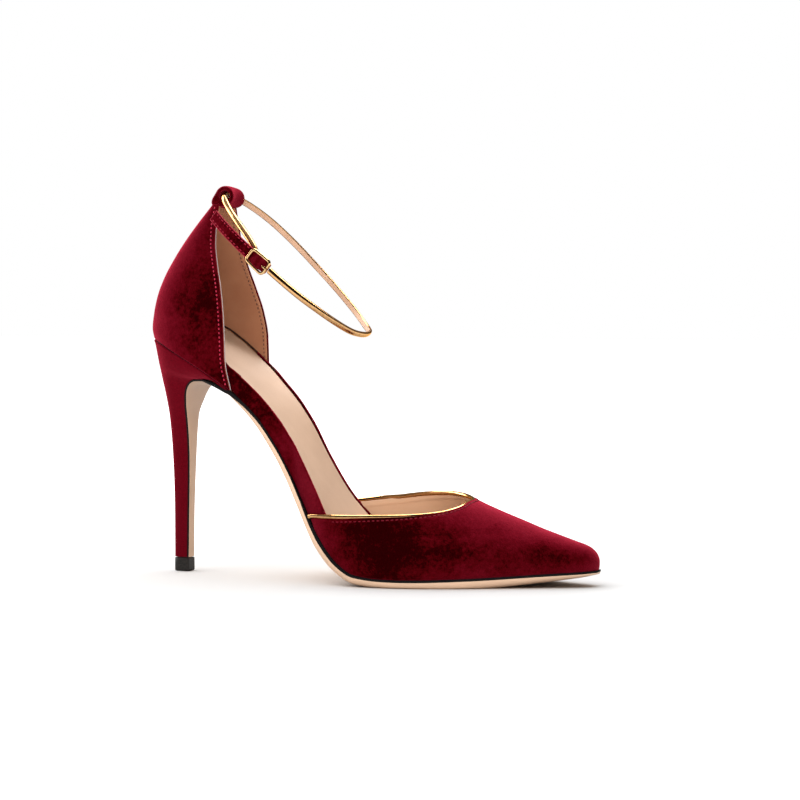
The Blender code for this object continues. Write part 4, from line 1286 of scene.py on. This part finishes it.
def keeper_ring(turns, radius, y):
    from_middle = (y - KEEPER_BEND_MIDDLE) ** 2
    x, z = (centre + bend * from_middle for centre, bend in zip(KEEPER_CENTRE, KEEPER_BEND))
    return np.column_stack([x + radius * np.cos(turns), np.full_like(turns, y), z + radius * np.sin(turns)])


def stitches(name, rows, size, pitch, look, start=0.5):
    """Threads of several rows in one piece: each row is a path on a surface and the normals along it."""
    length, width, height = size
    ring = np.linspace(0, math.pi, STITCH_RINGS)[:, None]
    turn = np.arange(STITCH_SIDES) * 2 * math.pi / STITCH_SIDES
    form = -length * np.cos(ring), width * np.sin(ring) * np.cos(turn), height * np.sin(ring) * np.sin(turn)
    form = np.stack(np.broadcast_arrays(*form), axis=-1).reshape(-1, 3)
    thread = np.array(loft_faces(STITCH_RINGS, STITCH_SIDES)[:-2])
    points = []
    for path, normals in rows:
        run = travelled(path)
        count = int(run[-1] / pitch)
        at = np.arange(start, count) * run[-1] / count
        out = unit(resampled(np.column_stack([path, normals]), at)[:, 3:])
        ahead = unit(resampled(path, at + pitch / 4) - resampled(path, at - pitch / 4))
        across = unit(np.cross(out, ahead))
        for place, axes in zip(resampled(path, at), np.stack([ahead, across, out], axis=1)):
            points.append(place + form @ axes)
    faces = np.vstack([thread + i * len(form) for i in range(len(points))]).tolist()
    return piece(name, np.vstack(points), faces, look)


def inset_line(grid, inset):
    """Path up a grid at a distance from its first edge, with its normals."""
    normal = outward(grid)
    path, out = [], []
    for j in range(grid.shape[1]):
        line = np.column_stack([grid[:, j], normal[:, j]])
        run = travelled(grid[:, j])
        here = [np.interp(inset, run, column) for column in line.T]
        path.append(here[:3])
        out.append(here[3:])
    return np.array(path), np.array(out)


def make_stitches():
    """Rows of thread on the counter's edges and back, below the topline and on the lining."""
    counter = counter_grid()
    medial, medial_out = inset_line(counter, FRONT_STITCH_INSET)
    lateral, lateral_out = inset_line(counter[::-1], FRONT_STITCH_INSET)
    front_rows = [
        (medial[STITCH_ROWS], medial_out[STITCH_ROWS]),
        (lateral[STITCH_ROWS], -lateral_out[STITCH_ROWS]),
    ]
    back = counter.shape[0] // 2, STITCH_ROWS
    outer_rows = front_rows + [(counter[back] + SEAM_STITCH_SHIFT, outward(counter)[back])]
    depth = LINING_START + COUNTER_LINING
    inner_rows = [(path - out * depth, -out) for path, out in front_rows]
    stitches("lining_stitches", inner_rows, STITCH, STITCH_PITCH, "tan_thread")
    stitches("counter_stitches", outer_rows, STITCH, STITCH_PITCH, "rose_thread")
    # Dark marks of painted shade in the needle holes between the stitches
    stitches("counter_pinholes", outer_rows, PINHOLE, STITCH_PITCH, "pinhole_shade", start=1.0)
    vamp = vamp_grid()
    path, out = inset_line(np.swapaxes(vamp, 0, 1)[::-1], TOPLINE_STITCH_DROP)
    outside = outward(vamp)[:, -TOPLINE_SPAN]
    out = out * np.sign(np.sum(out * outside, axis=1, keepdims=True))
    rows = [(path[TOPLINE_STITCH_ROWS], out[TOPLINE_STITCH_ROWS])]
    stitches("topline_stitches", rows, LONG_STITCH, LONG_STITCH_PITCH, "burgundy_thread")


def feed(tree, made, inputs):
    """Give a node's inputs their constants, or link them to the outputs of other nodes."""
    for socket, value in inputs.items():
        if isinstance(value, bpy.types.NodeSocket):
            tree.links.new(value, made.inputs[socket])
        else:
            made.inputs[socket].default_value = value


def node(tree, kind, output, inputs, **settings):
    """New shader node, by the output of it that is used."""
    made = tree.nodes.new(f"ShaderNode{kind}")
    for setting, value in settings.items():
        setattr(made, setting, value)
    feed(tree, made, inputs)
    return made.outputs[output]


def shader(name, constants):
    """New Principled material, with the values that are the same all over set on its sockets."""
    made = bpy.data.materials.new(name)
    made.use_nodes = True
    principled = made.node_tree.nodes["Principled BSDF"]
    feed(made.node_tree, principled, constants)
    return made, made.node_tree, principled


def own_place(tree):
    return node(tree, "TexCoord", "Object", {})


def noise(tree, scale, detail=3.0, roughness=0.55):
    """Noise over the shoe's own metres; scale is in features a metre."""
    inputs = {"Vector": own_place(tree), "Scale": scale, "Detail": detail, "Roughness": roughness}
    return node(tree, "TexNoise", "Fac", inputs)


def ramp(tree, factor, *stops):
    """Colours along a factor: stops of (place, colour)."""
    made = tree.nodes.new("ShaderNodeValToRGB")
    elements = made.color_ramp.elements
    while len(elements) < len(stops):
        elements.new(0.5)
    for element, (place, colour) in zip(elements, stops):
        element.position = place
        element.color = (*colour, 1)
    feed(tree, made, {"Fac": factor})
    return made.outputs["Color"]


def between(tree, factor, low, high):
    """A factor spread over a range of values."""
    return node(tree, "MapRange", "Result", {"Value": factor, "To Min": low, "To Max": high})


def along_shoe(tree, stops):
    """Grey along the shoe: stops of (distance from the heel tip in millimetres, grey)."""
    x = node(tree, "SeparateXYZ", "X", {"Vector": own_place(tree)})
    share = node(tree, "MapRange", "Result", {"Value": x, "From Min": -SHOE_REACH, "From Max": SHOE_REACH})
    placed = [(((x + ORIGIN[0]) * MM / SHOE_REACH + 1) / 2, (grey, grey, grey)) for x, grey in stops]
    return ramp(tree, share, *placed)


def product(tree, first, second):
    """Two colours multiplied."""
    inputs = {"Factor": 1, "A": first, "B": second}
    return node(tree, "Mix", "Result", inputs, data_type="RGBA", blend_type="MULTIPLY")


def total(tree, first, second):
    """Two factors added."""
    return node(tree, "Math", "Value", {0: first, 1: second})


def bump(tree, principled, *heights):
    """Bumps on each other, each a (factor, depth in metres, strength)."""
    under = {}
    for factor, depth, strength in heights:
        inputs = {"Distance": depth, "Strength": strength, "Height": factor}
        under = {"Normal": node(tree, "Bump", "Normal", inputs | under)}
    feed(tree, principled, under)
    return under["Normal"]


def velvet(name, patch, tilt, shades):
    """Pile fabric, its sheen painted: dark face on, bright where it is seen along the pile, which is brushed
    here and there.
    """
    made, tree, principled = shader(name, VELVET_SHEEN)
    brushed = noise(tree, patch, *BRUSHED)
    ruffled = noise(tree, *RUFFLES)
    pile = noise(tree, *PILE)
    normal = bump(tree, principled, (ruffled, *RUFFLE_RELIEF), (pile, *PILE_RELIEF))
    leaning = node(tree, "VectorMath", "Vector", {0: normal, 1: PILE_LEAN})
    tips = node(tree, "VectorMath", "Vector", {0: leaning}, operation="NORMALIZE")
    # Painted sheen: the colour follows how far the leaning pile is seen face on
    lean = node(tree, "LayerWeight", "Facing", {"Normal": tips})
    # The brushed patches, the brushing with painted light and shade along the shoe, and the ruffles shift it
    for factor, turned in ((brushed, tilt), (along_shoe(tree, BRUSHING_AND_PAINTED_LIGHT), BRUSHING_AND_LIGHT_TILT), (ruffled, RUFFLE)):
        lean = total(tree, lean, between(tree, factor, -turned, turned))
    colour = product(tree, ramp(tree, lean, *shades), ramp(tree, pile, *PILE_SPECK))
    feed(tree, principled, {"Base Color": colour})
    return made


def finish(name, family, dark, light, gloss, grain, shade=None):
    """Finish with a fine grain, which mottles its colour and its gloss and stands in low relief, and any
    painted shade along the shoe.
    """
    constants, mottling, detail, stops, relief = FAMILIES[family]
    made, tree, principled = shader(name, constants)
    fine = noise(tree, grain, *detail)
    mottle = noise(tree, *mottling) if mottling else fine
    colour = ramp(tree, mottle, *zip(stops, (dark, light)))
    # Painted shade along the shoe, where one is given
    if shade:
        colour = product(tree, colour, along_shoe(tree, shade))
    feed(tree, principled, {"Base Color": colour, "Roughness": between(tree, fine, *gloss)})
    bump(tree, principled, (fine, *relief))
    return made


# Materials by name, each kept with the name of its slot
LOOKS = {
    name: (make(name, *values), slot)
    for make, rows in ((velvet, VELVETS), (finish, FINISHES))
    for name, (slot, *values) in rows.items()
}


def make_floor():
    """Large plain pale floor."""
    mesh = bpy.data.meshes.new("floor")
    corners = [(x * FLOOR_REACH, y * FLOOR_REACH, 0) for x, y in ((-1, -1), (1, -1), (1, 1), (-1, 1))]
    mesh.from_pydata(corners, [], [(0, 1, 2, 3)])
    made, tree, principled = shader("pale_floor", FLOOR_FINISH)
    away = node(tree, "VectorMath", "Value", {0: own_place(tree)}, operation="LENGTH")
    colour = ramp(tree, noise(tree, FLOOR_GRAIN), *FLOOR_SHADES)
    feed(tree, principled, {"Base Color": colour, "Emission Color": ramp(tree, away, *BACKDROP_GLOW)})
    mesh.materials.append(made)
    floor = bpy.data.objects.new("floor", mesh)
    bpy.context.scene.collection.objects.link(floor)
    GROUND.objects.link(floor)


def softbox(name, place, target, size, power, lit, glints):
    """Soft lamp that lights only the pieces of one collection, and may leave no glints in the gold."""
    light = bpy.data.lights.new(name, "AREA")
    light.shape = "RECTANGLE"
    light.size, light.size_y = size
    light.energy = power
    made = bpy.data.objects.new(name, light)
    made.location = place
    made.rotation_euler = (Vector(target) - Vector(place)).to_track_quat("-Z", "Y").to_euler()
    bpy.context.scene.collection.objects.link(made)
    made.visible_glossy = glints
    made.light_linking.receiver_collection = lit


def make_studio():
    """White surroundings, brightest overhead, and softboxes round the shoe."""
    world = bpy.data.worlds.new("studio")
    bpy.context.scene.world = world
    world.use_nodes = True
    tree = world.node_tree
    place = node(tree, "TexCoord", "Generated", {})
    height = ramp(tree, node(tree, "SeparateXYZ", "Z", {"Vector": place}), *SKY)
    room = node(tree, "VectorMath", "Value", {0: place, 1: ROOM_SIDE}, operation="DOT_PRODUCT")
    sky = product(tree, height, ramp(tree, room, *ROOM_SHADE))
    seen = node(tree, "LightPath", "Is Camera Ray", {})
    colour = node(tree, "Mix", "Result", {"Factor": seen, "A": sky, "B": WHITE}, data_type="RGBA")
    feed(tree, tree.nodes["Background"], {"Color": colour})
    for name, row in SOFTBOXES.items():
        softbox(name, *row)


def make_camera():
    """The photograph's own camera."""
    data = bpy.data.cameras.new("camera")
    data.sensor_width = SENSOR
    data.lens = SENSOR * FOCAL_PIXELS / FRAME_PIXELS
    made = bpy.data.objects.new("camera", data)
    made.location = (np.array(CAMERA_PLACE) + ORIGIN) * MM
    made.rotation_euler = Vector(CAMERA_VIEW).to_track_quat("-Z", "Y").to_euler()
    bpy.context.scene.collection.objects.link(made)
    bpy.context.scene.camera = made


def main():
    for make in (
        make_upper, make_insole, make_joint_shade, make_outsole, make_heel, make_seat_shade, make_heel_tip,
        make_piping, make_keeper, make_strap, make_tail, make_buckle, make_stitches,
    ):
        make()
    make_floor()
    make_studio()
    make_camera()
    bpy.context.scene.view_settings.view_transform = "Standard"


main()
